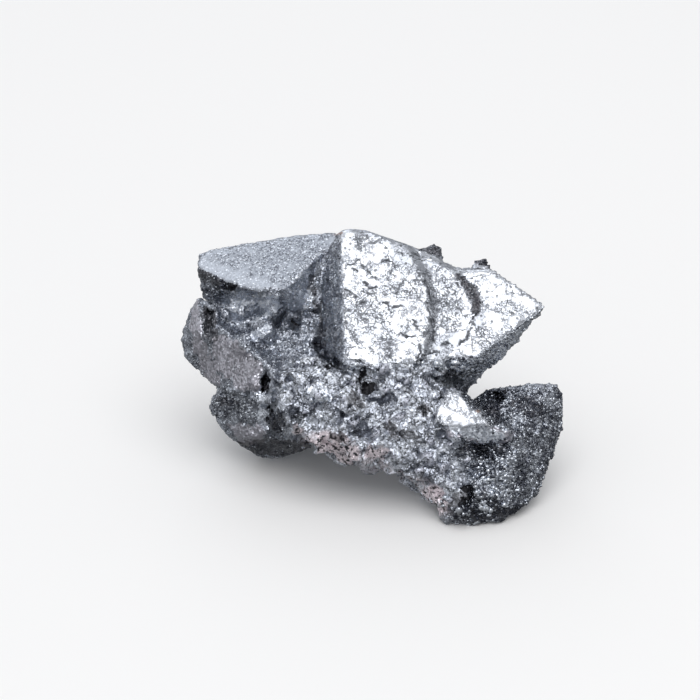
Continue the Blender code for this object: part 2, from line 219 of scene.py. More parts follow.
# Larger lumps: (x, z, half width, tone), face on, in mm.
LUMPS = (
    (4.7, -5.9, 1.4, 0.45), (7.0, -4.7, 0.8, 0.6), (3.1, -2.6, 0.7, 0.7), (5.9, -0.5, 0.9, 0.5),
    (2.6, 0.9, 1.0, 0.5), (9.4, -13.6, 1.9, 0.7), (12.9, -15.5, 1.5, 0.6), (7.3, -16.2, 1.0, 0.45),
    (-5.2, -4.3, 0.7, 0.6), (11.3, -11.0, 1.1, 0.6), (1.0, -12.5, 0.9, 0.9), (16.7, -13.6, 0.7, 0.9),
    (13.0, -21.4, 0.9, 0.9), (0.3, -9.4, 1.2, 0.7), (-2.1, -7.5, 1.3, 0.6), (-8.4, -3.3, 1.2, 0.8),
)
LARGE_BRIGHT_FACE = (
    (-5.3, 25.9), (-4.2, 3.4), (-1.5, 2.6), (1.0, 1.6), (3.5, 0.9), (5.2, 2.0), (8.7, 3.0), (13.0, 2.6),
    (18.3, 3.8), (30.6, 12.4), (20.0, 19.6), (13.0, 20.6), (7.4, 22.4), (1.0, 24.6), (-1.5, 25.9),
)
BRIGHT_SLABS = (
    ((-4.6, 2.5), (-0.8, 2.1), (-0.7, 1.0), (-1.5, 1.5), (-2.9, 1.3), (-3.2, 0.0), (-4.1, 0.5)),
    ((-4.0, -0.2), (-2.9, 0.2), (-3.0, -0.9), (-3.7, -1.0)),
)
SMALL_BRIGHT_FACE = ((13.2, -1.5), (10.9, -6.9), (11.8, -8.4), (20.8, -8.2))
SMALL_FACE_CORNER = (13.4, -11.65, -1.8)  # face on, in mm: x, y, z
SPECKLED_SLOPES = (
    ((-14.6, 15.6), (-10.6, 18.6), (-9.9, 14.0), (-11.4, 11.2), (-14.8, 12.2)),
    ((-25.8, 13.4), (-22.6, 14.8), (-17.4, 13.4), (-17.7, 10.3), (-22.6, 9.0), (-25.2, 10.8)),
)
LEDGE_OUTLINES = (
    (
        (14.8, 18.3), (16.0, 17.4), (17.4, 16.5), (18.4, 15.0), (19.1, 13.0), (18.8, 11.3),
        (17.9, 10.1), (17.4, 11.5), (17.4, 12.9), (16.7, 14.4), (15.8, 15.8), (14.8, 17.1),
    ),
)
WORN_PATCHES = (
    (-0.5, 11.7, 2.4, 4.4, 0.0), (2.8, 5.6, 1.7, 3.4, 0.0), (6.3, 15.0, 4.4, 1.6, 0.0),
    (13.2, 12.9, 2.7, 5.0, 10.0), (13.2, 19.0, 2.0, 1.4, 0.0), (-2.1, 23.8, 0.9, 2.2, 0.0),
    (23.5, 11.8, 2.8, 1.3, -10.0), (19.8, 7.0, 1.4, 1.9, 0.0), (-3.1, 9.6, 1.2, 3.5, 0.0),
    (3.8, 18.6, 1.5, 1.6, 0.0), (9.4, 16.2, 1.4, 3.2, 25.0), (10.6, 9.5, 1.3, 4.6, 0.0),
    (18.0, -6.4, 2.4, 1.2, -30.0), (12.6, -7.8, 1.5, 0.8, 0.0),
)
DULL_PATCHES = (
    (7.2, 20.3, 4.6, 2.0, -27.0), (11.3, 4.6, 2.6, 2.2, 20.0), (14.0, 6.4, 1.8, 1.5, 30.0),
    (18.9, 9.9, 0.9, 2.2, -12.0), (3.0, 1.6, 3.0, 1.1, 0.0),
)
DULL_RIMS = (
    (((-3.1, 25.4), (1.7, 24.2), (6.1, 22.1), (10.4, 20.0), (15.7, 19.0)), 0.5),
    (((22.6, 17.7), (30.1, 12.9)), 0.3),
)
# Thin dark lines: ((x, z) of each point, half width), face on, in mm.
CRINKLES = (
    (((-4.2, 19.0), (-3.0, 19.7), (-1.7, 20.2)), 0.08),
    (((-2.8, 19.0), (-1.9, 17.6)), 0.08),
    (((-1.6, 19.5), (-0.3, 18.3), (1.0, 17.1)), 0.09),
    (((-0.9, 16.4), (0.0, 15.3), (1.2, 15.5)), 0.11),
    (((-4.3, 15.0), (-3.1, 14.4), (-2.1, 13.7)), 0.08),
    (((-1.9, 13.0), (-1.0, 12.9)), 0.09),
    (((1.9, 13.0), (3.1, 12.4), (3.7, 10.3)), 0.1),
    (((3.7, 11.7), (5.4, 12.4)), 0.08),
    (((7.1, 9.9), (8.2, 7.8)), 0.07),
    (((5.0, 7.8), (6.4, 7.0), (7.8, 7.0)), 0.08),
    (((2.4, 5.2), (3.3, 3.5)), 0.09),
    (((8.5, 5.6), (8.4, 4.3), (8.0, 2.6)), 0.1),
    (((8.4, 17.9), (9.4, 16.5)), 0.14),
    (((9.4, 16.5), (10.1, 15.3), (10.4, 13.6)), 0.31),
    (((9.9, 12.9), (10.3, 11.0), (11.0, 8.9), (10.8, 6.4)), 0.15),
    (((-4.5, 2.8), (-2.1, 3.0), (-0.9, 2.1), (-0.7, 0.7)), 0.19),
    (((1.7, 1.0), (3.1, 1.0)), 0.12),
    (((8.7, 3.8), (10.6, 4.0), (11.8, 4.5)), 0.09),
    (((12.5, 5.6), (13.4, 5.9)), 0.15),
    (((17.6, 9.6), (16.7, 7.3), (15.5, 5.7)), 0.12),
    (((15.0, 16.2), (15.7, 15.1)), 0.12),
    (((-2.3, 23.8), (-1.9, 21.8)), 0.07),
    (((2.3, 20.0), (4.0, 20.0), (4.2, 19.0)), 0.09),
)
SMOOTH_BANDS = ((((-29.2, 19.6), (-25.5, 18.2), (-21.0, 16.3), (-16.6, 15.0)), 1.3),)
WARM_RIM = (
    (
        ((-10.4, -11.2), (-5.2, -14.3), (0.9, -15.5), (3.5, -17.1), (7.8, -18.7), (9.6, -21.6), (12.2, -24.2)),
        1.7,
    ),
)
RIMS = (
    (((-28.7, 23.3), (-20.9, 24.4), (-13.9, 25.1), (-4.4, 25.8), (0.3, 24.5), (5.2, 22.4), (7.3, 21.8)), 1.4),
    (((21.2, 18.3), (30.4, 12.6)), 1.3),
)
PALE_RIDGES = ((((-23.0, 6.8), (-20.0, 4.4), (-17.0, 1.6)), 0.25),)


# ---------------------------------------------------------------- sizes and colours


def length_property(name, description, millimetres):
    return FloatProperty(name=name, description=description, default=millimetres * MM, unit="LENGTH")


def colour_property(name, description, *shade):
    opaque = (*shade, 1.0)
    return FloatVectorProperty(name=name, description=description, size=4, subtype="COLOR", default=opaque)


class ClusterSizes(bpy.types.PropertyGroup):
    grid: length_property("Grid", "Spacing of the finished mesh", 0.48)
    lump: length_property("Lump", "Width of the small lumps of the ground", 2.1)
    lump_relief: length_property("Lump relief", "Height of those lumps", 0.65)


class DruseSizes(bpy.types.PropertyGroup):
    fine: length_property("Fine", "Half width of the small crystals", 0.18)
    coarse: length_property("Coarse", "Half width of the largest small crystals", 0.55)
    cover: FloatProperty(name="Cover", description="How densely they stand", default=1.0, min=0.0)
    jitter: FloatProperty(
        name="Jitter",
        description="How far each turns from its neighbours",
        default=math.radians(18),
        subtype="ANGLE",
    )
    crumbs: IntProperty(name="Crumbs", description="Crumbs in the ground", default=420, min=0)
    crumb: length_property("Crumb", "Half width of a middling crumb", 0.5)


class SurfaceColours(bpy.types.PropertyGroup):
    steel: colour_property("Steel", "Dark crystal faces", 0.19, 0.2, 0.235)
    mirror: colour_property("Mirror", "Bright growth faces", 0.67, 0.695, 0.755)
    frost: colour_property("Frost", "Frosted faces", 0.42, 0.447, 0.505)
    earth: colour_property("Earth", "Warm dust in the ground", 0.98, 0.88, 0.93)
    satin: colour_property("Satin", "Smooth grey planes", 0.52, 0.51, 0.57)
    dull: colour_property("Dull", "Grey parts of the bright faces", 0.34, 0.36, 0.405)
    pale: colour_property("Pale", "Light blue patches", 0.84, 0.88, 0.96)


class StageSizes(bpy.types.PropertyGroup):
    distance: length_property("Camera distance", "From the middle of the view", 600.0)
    elevation: FloatProperty(
        name="Camera elevation", description="Above the horizon", default=math.radians(30.0), subtype="ANGLE"
    )
    view_width: length_property("View width", "Width seen at that distance", 121.8)


# ---------------------------------------------------------------- places on the cluster


def to_face_on(points):
    """Points of the frame, in metres, as face-on places in mm."""
    return directions_face_on(points * PER_MM - np.array(FACE_ON_ORIGIN))


def directions_face_on(directions):
    return directions @ np.array(Matrix.Rotation(LEAN, 3, "X")).T


def ramp(values, low, high):
    """0 below low, 1 above high, and smooth between."""
    t = np.clip((values - low) / (high - low), 0.0, 1.0)
    return t * t * (3.0 - 2.0 * t)


def wandered(places):
    """These places, shifted a little by a noise, so that what is drawn on them gets an irregular edge."""
    shift = np.array([noise.noise_vector(place / 1.3)[:] for place in places])
    fine = np.array([noise.noise_vector(place / 0.5 + Vector((9, 9, 9)))[:] for place in places])
    return places + 0.75 * shift + 0.3 * fine


def spots_share(places, spots):
    """1 in the middle of these soft ovals, and 0 outside them."""
    share = np.zeros(len(places))
    for middle_x, middle_z, half_width, half_height, turn in spots:
        across, up = places[:, 0] - middle_x, places[:, 2] - middle_z
        c, s = math.cos(math.radians(turn)), math.sin(math.radians(turn))
        away = np.hypot((across * c + up * s) / half_width, (up * c - across * s) / half_height)
        share = np.maximum(share, 1.0 - ramp(away, 0.8, 1.15))
    return share


def strokes_share(places, strokes):
    """1 along these paths, and 0 away from them."""
    flat = places[:, (0, 2)]
    share = np.zeros(len(places))
    for path, half_width in strokes:
        for start, end in zip(path, path[1:]):
            start, along = np.array(start), np.subtract(end, start)
            t = np.clip((flat - start) @ along / (along @ along), 0.0, 1.0)
            away = np.linalg.norm(flat - start - t[:, None] * along, axis=1)
            share = np.maximum(share, 1.0 - ramp(away / half_width, 0.6, 1.3))
    return share


def outlines_share(places, outlines):
    """1 inside these outlines, and 0 outside them."""
    x, z = places[:, 0], places[:, 2]
    inside = np.zeros(len(places), bool)
    for outline in outlines:
        within = np.zeros(len(places), bool)
        for (x0, z0), (x1, z1) in zip(outline, (*outline[1:], outline[0])):
            crosses = (z0 > z) != (z1 > z)
            if z0 != z1:
                within ^= crosses & (x < x0 + (x1 - x0) * (z - z0) / (z1 - z0))
        inside |= within
    return inside.astype(float)


def facing_share(facing, direction, low, high):
    """1 where a surface faces this way, and 0 where it turns well away from it."""
    return ramp(facing @ np.array(direction.normalized()), low, high)


def bright_shares(exact, places, facing):
    """The bright faces, the small one among them, the ledges, and the satin planes of the back."""
    x, y, z = exact.T
    front = ramp(-facing[:, 1], 0.05, 0.3)
    ledges = outlines_share(exact + 0.5 * (places - exact), LEDGE_OUTLINES)
    ragged_foot = 0.3 + 1.2 * (1.0 - ramp(z, 3.0, 6.0)) * (1.0 - ramp(x, 9.0, 11.0))
    near_edges = exact + ragged_foot[:, None] * (places - exact)
    large_face = outlines_share(near_edges, (LARGE_BRIGHT_FACE,)) * ramp(-facing[:, 1], 0.1, 0.3)
    large_face *= ramp(facing[:, 2], -0.35, -0.1) * (1.0 - ledges)
    small_face = outlines_share(exact + 0.8 * (places - exact), (SMALL_BRIGHT_FACE,)) * front
    slabs = outlines_share(exact + 0.5 * (places - exact), BRIGHT_SLABS) * front
    back = ramp(facing[:, 1], 0.0, 0.2) * ramp(y, 0.0, 3.0)
    back_bright = facing_share(facing, BACK_BRIGHT_NORMAL, 0.9, 0.95) * back
    back_planes = [facing_share(facing, direction, 0.88, 0.94) * back for direction in BACK_SATIN_NORMALS]
    mirror = np.maximum.reduce([large_face, small_face, slabs, back_bright])
    return mirror, small_face, ledges, np.maximum.reduce(back_planes)


def zones_of(points, normals):
    """How much of each point belongs to each kind of surface, by name."""
    exact, facing = to_face_on(points), directions_face_on(normals)
    places = wandered(exact)
    x, y, z = exact.T
    front = ramp(-facing[:, 1], 0.05, 0.3)
    mirror, small_face, ledges, back_satin = bright_shares(exact, places, facing)
    plain = 1.0 - mirror
    flat_top = facing_share(facing, PLATEAU_NORMAL, 0.84, 0.95)
    frost = flat_top * (1.0 - ramp(x, -6.5, -5.0)) * ramp(z, 12.0, 14.0)
    hollow = spots_share(places, HOLLOWS) * front
    open_face = 1.0 - hollow
    satin = np.maximum(outlines_share(places, SATIN_OUTLINES) * front, back_satin) * plain * open_face
    crumbly = spots_share(places, CRUMBLY_PATCHES) * (1.0 - ramp(y, 2.0, 6.0))
    crumbly *= plain * (1.0 - frost) * (1.0 - satin)
    pale = np.maximum(spots_share(places, PALE_PATCHES), 0.6 * strokes_share(places, PALE_RIDGES)) * front
    dark = spots_share(places, DARK_PATCHES) * plain * (1.0 - frost) * (1.0 - ramp(y, 6.0, 9.0))
    dull = np.maximum(spots_share(places, DULL_PATCHES), strokes_share(places, DULL_RIMS)) * front
    underside = ramp(x, 9.0, 12.0) * ramp(z, -1.0, 1.0) * plain * ramp(-facing[:, 2], -0.2, 0.2)
    right_block = ramp(x, 11.5, 14.5) * (1.0 - ramp(z, -3.0, -1.0)) * plain * (1.0 - crumbly)
    warm = np.maximum(spots_share(places, WARM_PATCHES), 0.5 * strokes_share(places, WARM_RIM)) * front
    return {
        "mirror": mirror * open_face,
        "small_face": small_face,
        "frost": frost * open_face,
        "crumbly": crumbly,
        "hollow": hollow,
        "pale": pale * open_face,
        "coarse": spots_share(places, COARSE_DRUSE) * front,
        "dull": dull,
        "chips": spots_share(places, CHIP_PATCHES) * front,
        "dark": dark,
        "worn": spots_share(places, WORN_PATCHES) * front,
        "line": strokes_share(exact + 0.6 * (places - exact), CRINKLES) * front,
        "band": strokes_share(places, SMOOTH_BANDS) * front,
        # The undersides take half of the slopes' lighter colour: painted light.
        "slope": np.maximum(outlines_share(places, SPECKLED_SLOPES) * front, 0.5 * underside),
        "rim": strokes_share(exact, RIMS),
        "satin": satin,
        "warm": warm,
        "white": spots_share(places, WHITE_PATCHES) * front,
        "rust": spots_share(exact, RUST_SPOTS) * front,
        "sparkly": np.maximum(right_block, 0.7 * spots_share(places, SPARKLE_PATCHES) * front),
        "underside": underside,
        "ledge": ledges * front,
    }


# ---------------------------------------------------------------- mesh helpers


def vertex_vectors(mesh, field):
    vectors = np.empty(len(mesh.vertices) * 3)
    mesh.vertices.foreach_get(field, vectors)
    return vectors.reshape(-1, 3)


def mesh_points(mesh):
    return vertex_vectors(mesh, "co")


def mesh_normals(mesh):
    return vertex_vectors(mesh, "normal")


def set_attribute(mesh, name, values):
    attribute = mesh.attributes.new(name, "FLOAT", "POINT")
    attribute.data.foreach_set("value", values.astype(np.float32))


def attribute_values(mesh, name):
    values = np.empty(len(mesh.vertices), np.float32)
    mesh.attributes[name].data.foreach_get("value", values)
    return values


def linked_object(name, data):
    obj = bpy.data.objects.new(name, data)
    bpy.context.scene.collection.objects.link(obj)
    return obj


def remeshed_copy(name, source, spacing):
    """A copy of this mesh with its doubles merged, on an even grid of this spacing, as an object."""
    bm = bmesh.new()
    bm.from_mesh(source)
    bmesh.ops.remove_doubles(bm, verts=bm.verts, dist=MM / 1000)
    mesh = bpy.data.meshes.new(name)
    bm.to_mesh(mesh)
    bm.free()
    obj = linked_object(name, mesh)
    remesh = obj.modifiers.new("even_grid", "REMESH")
    remesh.mode = "VOXEL"
    remesh.voxel_size = spacing
    graph = bpy.context.evaluated_depsgraph_get()
    even = bpy.data.meshes.new_from_object(obj.evaluated_get(graph))
    obj.modifiers.clear()
    obj.data = even
    bpy.data.meshes.remove(mesh)
    even.name = name
    return obj


def soft_noise(points, width):
    return np.array([noise.noise(point) for point in points / width])


# ---------------------------------------------------------------- shader nodes


def feed(tree, value, socket):
    """Gives a socket its value: another socket to link, or a constant."""
    if isinstance(value, bpy.types.NodeSocket):
        tree.links.new(value, socket)
    else:
        socket.default_value = value


def math_node(tree, operation, *values, clamp=False):
    node = tree.nodes.new("ShaderNodeMath")
    node.operation = operation
    node.use_clamp = clamp
    for value, socket in zip(values, node.inputs):
        feed(tree, value, socket)
    return node.outputs[0]


def plus(tree, first, second):
    return math_node(tree, "ADD", first, second)


def minus(tree, first, second):
    return math_node(tree, "SUBTRACT", first, second)


def times(tree, first, second):
    return math_node(tree, "MULTIPLY", first, second)


def times_plus(tree, first, second, third):
    return math_node(tree, "MULTIPLY_ADD", first, second, third)


def larger(tree, first, second):
    return math_node(tree, "MAXIMUM", first, second)


def vector_node(tree, operation, *values):
    node = tree.nodes.new("ShaderNodeVectorMath")
    node.operation = operation
    for value, socket in zip(values, node.inputs):
        feed(tree, value, socket)
    return node


def span(tree, value, low, high):
    """0 where value is below low, 1 above high, and smooth between."""
    node = tree.nodes.new("ShaderNodeMapRange")
    node.interpolation_type = "SMOOTHSTEP"
    for socket_name, given in (("Value", value), ("From Min", low), ("From Max", high)):
        feed(tree, given, node.inputs[socket_name])
    return node.outputs["Result"]


def mix_node(tree, kind, first_socket, result, values):
    """A Mix node of this kind: values are the share, the first and the second."""
    node = tree.nodes.new("ShaderNodeMix")
    node.data_type = kind
    for value, index in zip(values, (0, first_socket, first_socket + 1)):
        feed(tree, value, node.inputs[index])
    return node.outputs[result]


def blended(tree, share, first, second):
    """A number between two, each a socket or a number."""
    return mix_node(tree, "FLOAT", 2, 0, (share, first, second))


def mixed_vectors(tree, share, first, second):
    return mix_node(tree, "VECTOR", 4, 1, (share, first, second))


def mixed(tree, share, first, second):
    """A colour between two, each a socket or a colour."""
    return mix_node(tree, "RGBA", 6, 2, (share, first, second))


def object_place(tree):
    return tree.nodes.new("ShaderNodeTexCoord").outputs["Object"]


def noise_node(tree, scale, detail=3.0, roughness=0.5, output="Fac"):
    node = tree.nodes.new("ShaderNodeTexNoise")
    feed(tree, object_place(tree), node.inputs["Vector"])
    for socket_name, value in (("Scale", scale), ("Detail", detail), ("Roughness", roughness)):
        feed(tree, value, node.inputs[socket_name])
    return node.outputs[output]


def cells_node(tree, scale, place, feature="F1"):
    node = tree.nodes.new("ShaderNodeTexVoronoi")
    node.feature = feature
    feed(tree, scale, node.inputs["Scale"])
    feed(tree, place, node.inputs["Vector"])
    return node


def channel(tree, colour_socket, name):
    node = tree.nodes.new("ShaderNodeSeparateColor")
    feed(tree, colour_socket, node.inputs["Color"])
    return node.outputs[name]


def attribute_socket(tree, name):
    node = tree.nodes.new("ShaderNodeAttribute")
    node.attribute_name = name
    return node.outputs["Fac"]


def bump_node(tree, strength, distance, height, normal):
    """A bump that sinks where the height is large."""
    node = tree.nodes.new("ShaderNodeBump")
    node.invert = True
    given = {"Strength": strength, "Distance": distance, "Height": height, "Normal": normal}
    for name, value in given.items():
        feed(tree, value, node.inputs[name])
    return node.outputs["Normal"]


# ---------------------------------------------------------------- shader groups


def new_group(name, inputs, outputs):
    """An empty shader group: inputs are (name, default), all numbers, and outputs are (name, socket type)."""
    group = bpy.data.node_groups.new(name, "ShaderNodeTree")
    for socket_name, value in inputs:
        socket = group.interface.new_socket(socket_name, in_out="INPUT", socket_type="NodeSocketFloat")
        socket.default_value = value
    for socket_name, kind in outputs:
        group.interface.new_socket(socket_name, in_out="OUTPUT", socket_type=kind)
    return group, group.nodes.new("NodeGroupInput"), group.nodes.new("NodeGroupOutput")


def group_node(tree, name, **values):
    node = tree.nodes.new("ShaderNodeGroup")
    node.node_tree = bpy.data.node_groups[name]
    for socket_name, value in values.items():
        feed(tree, value, node.inputs[socket_name])
    return node


def grains_group():
    """Tiny flat grains, each tilted its own way: puts out their normal and a random value for each grain."""
    group, given, out = new_group(
        "tilted_grains",
        (("Scale", 2500.0), ("Tilt", 0.5)),
        (("Normal", "NodeSocketVector"), ("Random", "NodeSocketFloat")),
    )
    cells = cells_node(group, given.outputs["Scale"], object_place(group))
    centred = vector_node(group, "SUBTRACT", cells.outputs["Color"], (0.5, 0.5, 0.5))
    tilted = vector_node(group, "SCALE", centred.outputs[0])
    feed(group, given.outputs["Tilt"], tilted.inputs["Scale"])
    facing = group.nodes.new("ShaderNodeNewGeometry")
    added = vector_node(group, "ADD", facing.outputs["Normal"], tilted.outputs[0])
    feed(group, vector_node(group, "NORMALIZE", added.outputs[0]).outputs[0], out.inputs["Normal"])
    feed(group, channel(group, cells.outputs["Color"], "Green"), out.inputs["Random"])


def bent_place(group, scale, reach):
    """Object coordinates pushed about by a noise of this scale, this many metres at most."""
    push = noise_node(group, scale, 5.0, 0.65, "Color")
    return vector_node(group, "MULTIPLY_ADD", push, (2.0 * reach,) * 3, object_place(group)).outputs[0]


def cracks(group, scale, half_width, place):
    """Crinkled lines, this many metres to each side: the borders of the cells of a bent place."""
    away = cells_node(group, scale, place, "DISTANCE_TO_EDGE").outputs["Distance"]
    reach = half_width * scale
    return minus(group, 1.0, span(group, away, reach * 0.3, reach))


def patchy_cracks(group, scale, half_width, place, patch_scale, low, high, detail=2.0):
    """Those lines, only where a noise of the patches' scale is high."""
    patches = span(group, noise_node(group, patch_scale, detail), low, high)
    return times(group, cracks(group, scale, half_width, place), patches)


def cell_tones(group, scale, place):
    """A random value for each of those cells."""
    return channel(group, cells_node(group, scale, place).outputs["Color"], "Red")


def clods_group():
    """Broken clods: a random tone for each, and the gaps between them, which get bumps and painted shade."""
    group, _, out = new_group("clods", (), (("Tone", "NodeSocketFloat"), ("Gaps", "NodeSocketFloat")))
    large_place, small_place = bent_place(group, 800.0, 0.0011), bent_place(group, 1900.0, 0.0005)
    wide_gaps = patchy_cracks(group, LARGE_CLODS, 0.17 * MM, large_place, 500.0, 0.38, 0.5)
    fine_gaps = patchy_cracks(group, SMALL_CLODS, 0.1 * MM, small_place, 700.0, 0.42, 0.54)
    small_tone = times(group, cell_tones(group, SMALL_CLODS, small_place), 0.4)
    tone = times_plus(group, cell_tones(group, LARGE_CLODS, large_place), 0.6, small_tone)
    feed(group, tone, out.inputs["Tone"])
    feed(group, larger(group, wide_gaps, times(group, fine_gaps, 0.7)), out.inputs["Gaps"])


def ringed_pits(group):
    """Small rings, in crowds."""
    holes = cells_node(group, RINGED_PITS, object_place(group))
    crowds = plus(group, channel(group, holes.outputs["Color"], "Red"), noise_node(group, 260.0, 2.0))
    ring = math_node(group, "ABSOLUTE", minus(group, holes.outputs["Distance"], 0.17))
    return times(group, minus(group, 1.0, span(group, ring, 0.04, 0.13)), span(group, crowds, 1.16, 1.24))


def crackle_group():
    """The marks of a bright face: crinkled dark lines, small ringed pits, and specks where it is worn."""
    group, given, out = new_group(
        "crackle", (("Worn", 0.0),), (("Marks", "NodeSocketFloat"), ("Worn", "NodeSocketFloat"))
    )
    clouds = span(group, noise_node(group, 420.0, 5.0, 0.65), 0.45, 0.62)
    worn = times(group, given.outputs["Worn"], span(group, noise_node(group, 600.0, 4.0, 0.65), 0.36, 0.5))
    worn = larger(group, worn, times(group, clouds, 0.55))
    wide_bends, tight_bends = bent_place(group, 304.0, 0.0028), bent_place(group, 1280.0, 0.0007)
    long_cracks = patchy_cracks(group, LONG_CRACKS, 0.1 * MM, wide_bends, 230.0, 0.36, 0.48)
    short_cracks = patchy_cracks(group, SHORT_CRACKS, 0.08 * MM, tight_bends, 800.0, 0.42, 0.56)
    short_cracks = times(group, short_cracks, times(group, worn, 0.9))
    specks = times(group, span(group, noise_node(group, 4000.0, 2.0, 0.6), 0.51, 0.6), worn)
    marks = larger(group, times(group, long_cracks, 0.85), short_cracks)
    marks = larger(group, marks, times(group, specks, 0.62))
    marks = larger(group, marks, times(group, ringed_pits(group), 0.7))
    feed(group, marks, out.inputs["Marks"])
    feed(group, worn, out.inputs["Worn"])


# ---------------------------------------------------------------- materials


def new_material(name, **settings):
    """A material with its own nodes, as (material, node tree, Principled shader)."""
    material = bpy.data.materials.new(name)
    material.use_nodes = True
    shader = material.node_tree.nodes["Principled BSDF"]
    for socket_name, value in settings.items():
        feed(material.node_tree, value, shader.inputs[socket_name])
    return material, material.node_tree, shader


def growth_direction():
    """The way that the bright growth faces look, in the frame's axes."""
    return Matrix.Rotation(-LEAN, 3, "X") @ FACE_NORMAL.normalized()


def growth_normal(tree):
    """That direction as a shading normal, which turns with the object."""
    turned = tree.nodes.new("ShaderNodeVectorTransform")
    turned.vector_type = "NORMAL"
    turned.convert_from, turned.convert_to = "OBJECT", "WORLD"
    turned.inputs["Vector"].default_value = growth_direction()
    return turned.outputs["Vector"]


def ragged(tree, share, rough, reach):
    """A share with its soft edge made ragged by a noise."""
    return span(tree, times_plus(tree, minus(tree, rough, 0.5), reach, share), 0.4, 0.6)


def zone_shares(tree, rough):
    """A socket for each kind of surface, from the mesh's attributes."""
    shares = {name: attribute_socket(tree, name) for name in SOFT_ZONES}
    for name, reach in RAGGED_ZONES.items():
        shares[name] = ragged(tree, attribute_socket(tree, name), rough, reach)
    return shares


def druse_colour(tree, zones, colours, mottle, grains):
    """Dark faces with painted glints (grains given a light colour), and the smooth grey planes among them, which
    painted glints lighten too.
    """
    glints = span(tree, grains.outputs["Random"], 0.62, 1.0)
    greys = mixed(tree, span(tree, mottle, 0.38, 0.62), colours.steel[:], colours.frost[:])
    # Lighter on the slopes, and on the undersides as painted light.
    greys = mixed(tree, times(tree, zones["slope"], 0.7), greys, colours.pale[:])
    satin = mixed(tree, times(tree, glints, 0.5), colours.satin[:], colours.pale[:])
    return mixed(tree, zones["satin"], mixed(tree, glints, greys, GLINT), satin)


def ground_colour(tree, zones, colours, sugar, clods):
    """The crumbly ground, with painted shade in its low places and gaps and painted light on its high places, and
    the share of its grains that catch the light and take a painted highlight.
    """
    clouds = noise_node(tree, 380.0, 4.0, 0.6)
    # Random tones plus the height: low places take painted shade and high places take painted light.
    tone_and_height_light = plus(tree, zones["high"], times(tree, clouds, 0.4))
    tone_and_height_light = plus(tree, tone_and_height_light, times(tree, clods.outputs["Tone"], 0.75))
    tone_and_height_light = plus(tree, tone_and_height_light, times(tree, minus(tree, noise_node(tree, 150.0, 2.0), 0.5), 1.1))
    ground = mixed(tree, span(tree, tone_and_height_light, 0.5, 1.15), GROUND_DARK_AND_SHADED, GROUND_PALE_AND_LIT)
    sugary = span(tree, noise_node(tree, 330.0, 3.0, 0.6), 0.4, 0.58)
    grit = times(tree, span(tree, sugar, 0.55, 0.95), blended(tree, sugary, 0.25, 0.85))
    ground = mixed(tree, grit, ground, GRIT)
    # Grains whose normals turn to the light also take a lighter colour, a painted highlight; more of them stand
    # on high places and in the white patches.
    lit = times_plus(tree, span(tree, tone_and_height_light, 0.6, 1.15), 0.21, blended(tree, zones["white"], 0.05, 0.66))
    lit = times(tree, lit, blended(tree, zones["warm"], 1.0, 0.3))
    lit = math_node(tree, "MULTIPLY", minus(tree, lit, sugar), 20.0, clamp=True)
    ground = mixed(tree, lit, ground, LIT_GRAIN)
    # Painted shade in the gaps between the clods.
    ground = mixed(tree, times(tree, clods.outputs["Gaps"], 0.85), ground, GAP_SHADE)
    ground = mixed(tree, times(tree, zones["warm"], span(tree, clouds, 0.25, 0.5)), ground, colours.earth[:])
    return ground, lit


def frosted_colour(tree, zones, colours, grains):
    """Fine dark dots over an even grey, which a smooth band leaves out, and a few pale grains as painted glints.
    """
    patchy = span(tree, noise_node(tree, 240.0, 4.0, 0.6), 0.3, 0.52)
    patchy = times(tree, patchy, minus(tree, 1.0, zones["band"]))
    random = grains.outputs["Random"]
    frosted = mixed(tree, times(tree, span(tree, random, 0.5, 0.75), patchy), colours.frost[:], FROST_DOT)
    # A few grains take the pale colour: painted glints.
    frosted = mixed(tree, span(tree, random, 0.16, 0.04), frosted, colours.pale[:])
    return mixed(tree, times(tree, zones["band"], 0.1), frosted, colours.pale[:])


def bright_colour(tree, zones, colours, mottle, worn):
    """Bright metal, greyed where it is worn or dull."""
    fine_clouds = span(tree, noise_node(tree, 1300.0, 4.0, 0.6), 0.46, 0.64)
    greyed = times(tree, span(tree, mottle, 0.4, 0.6), times(tree, worn, 0.65))
    greyed = larger(tree, greyed, times(tree, fine_clouds, 0.36))
    greyed = larger(tree, greyed, times(tree, zones["dull"], 0.68))
    return mixed(tree, greyed, colours.mirror[:], colours.dull[:])


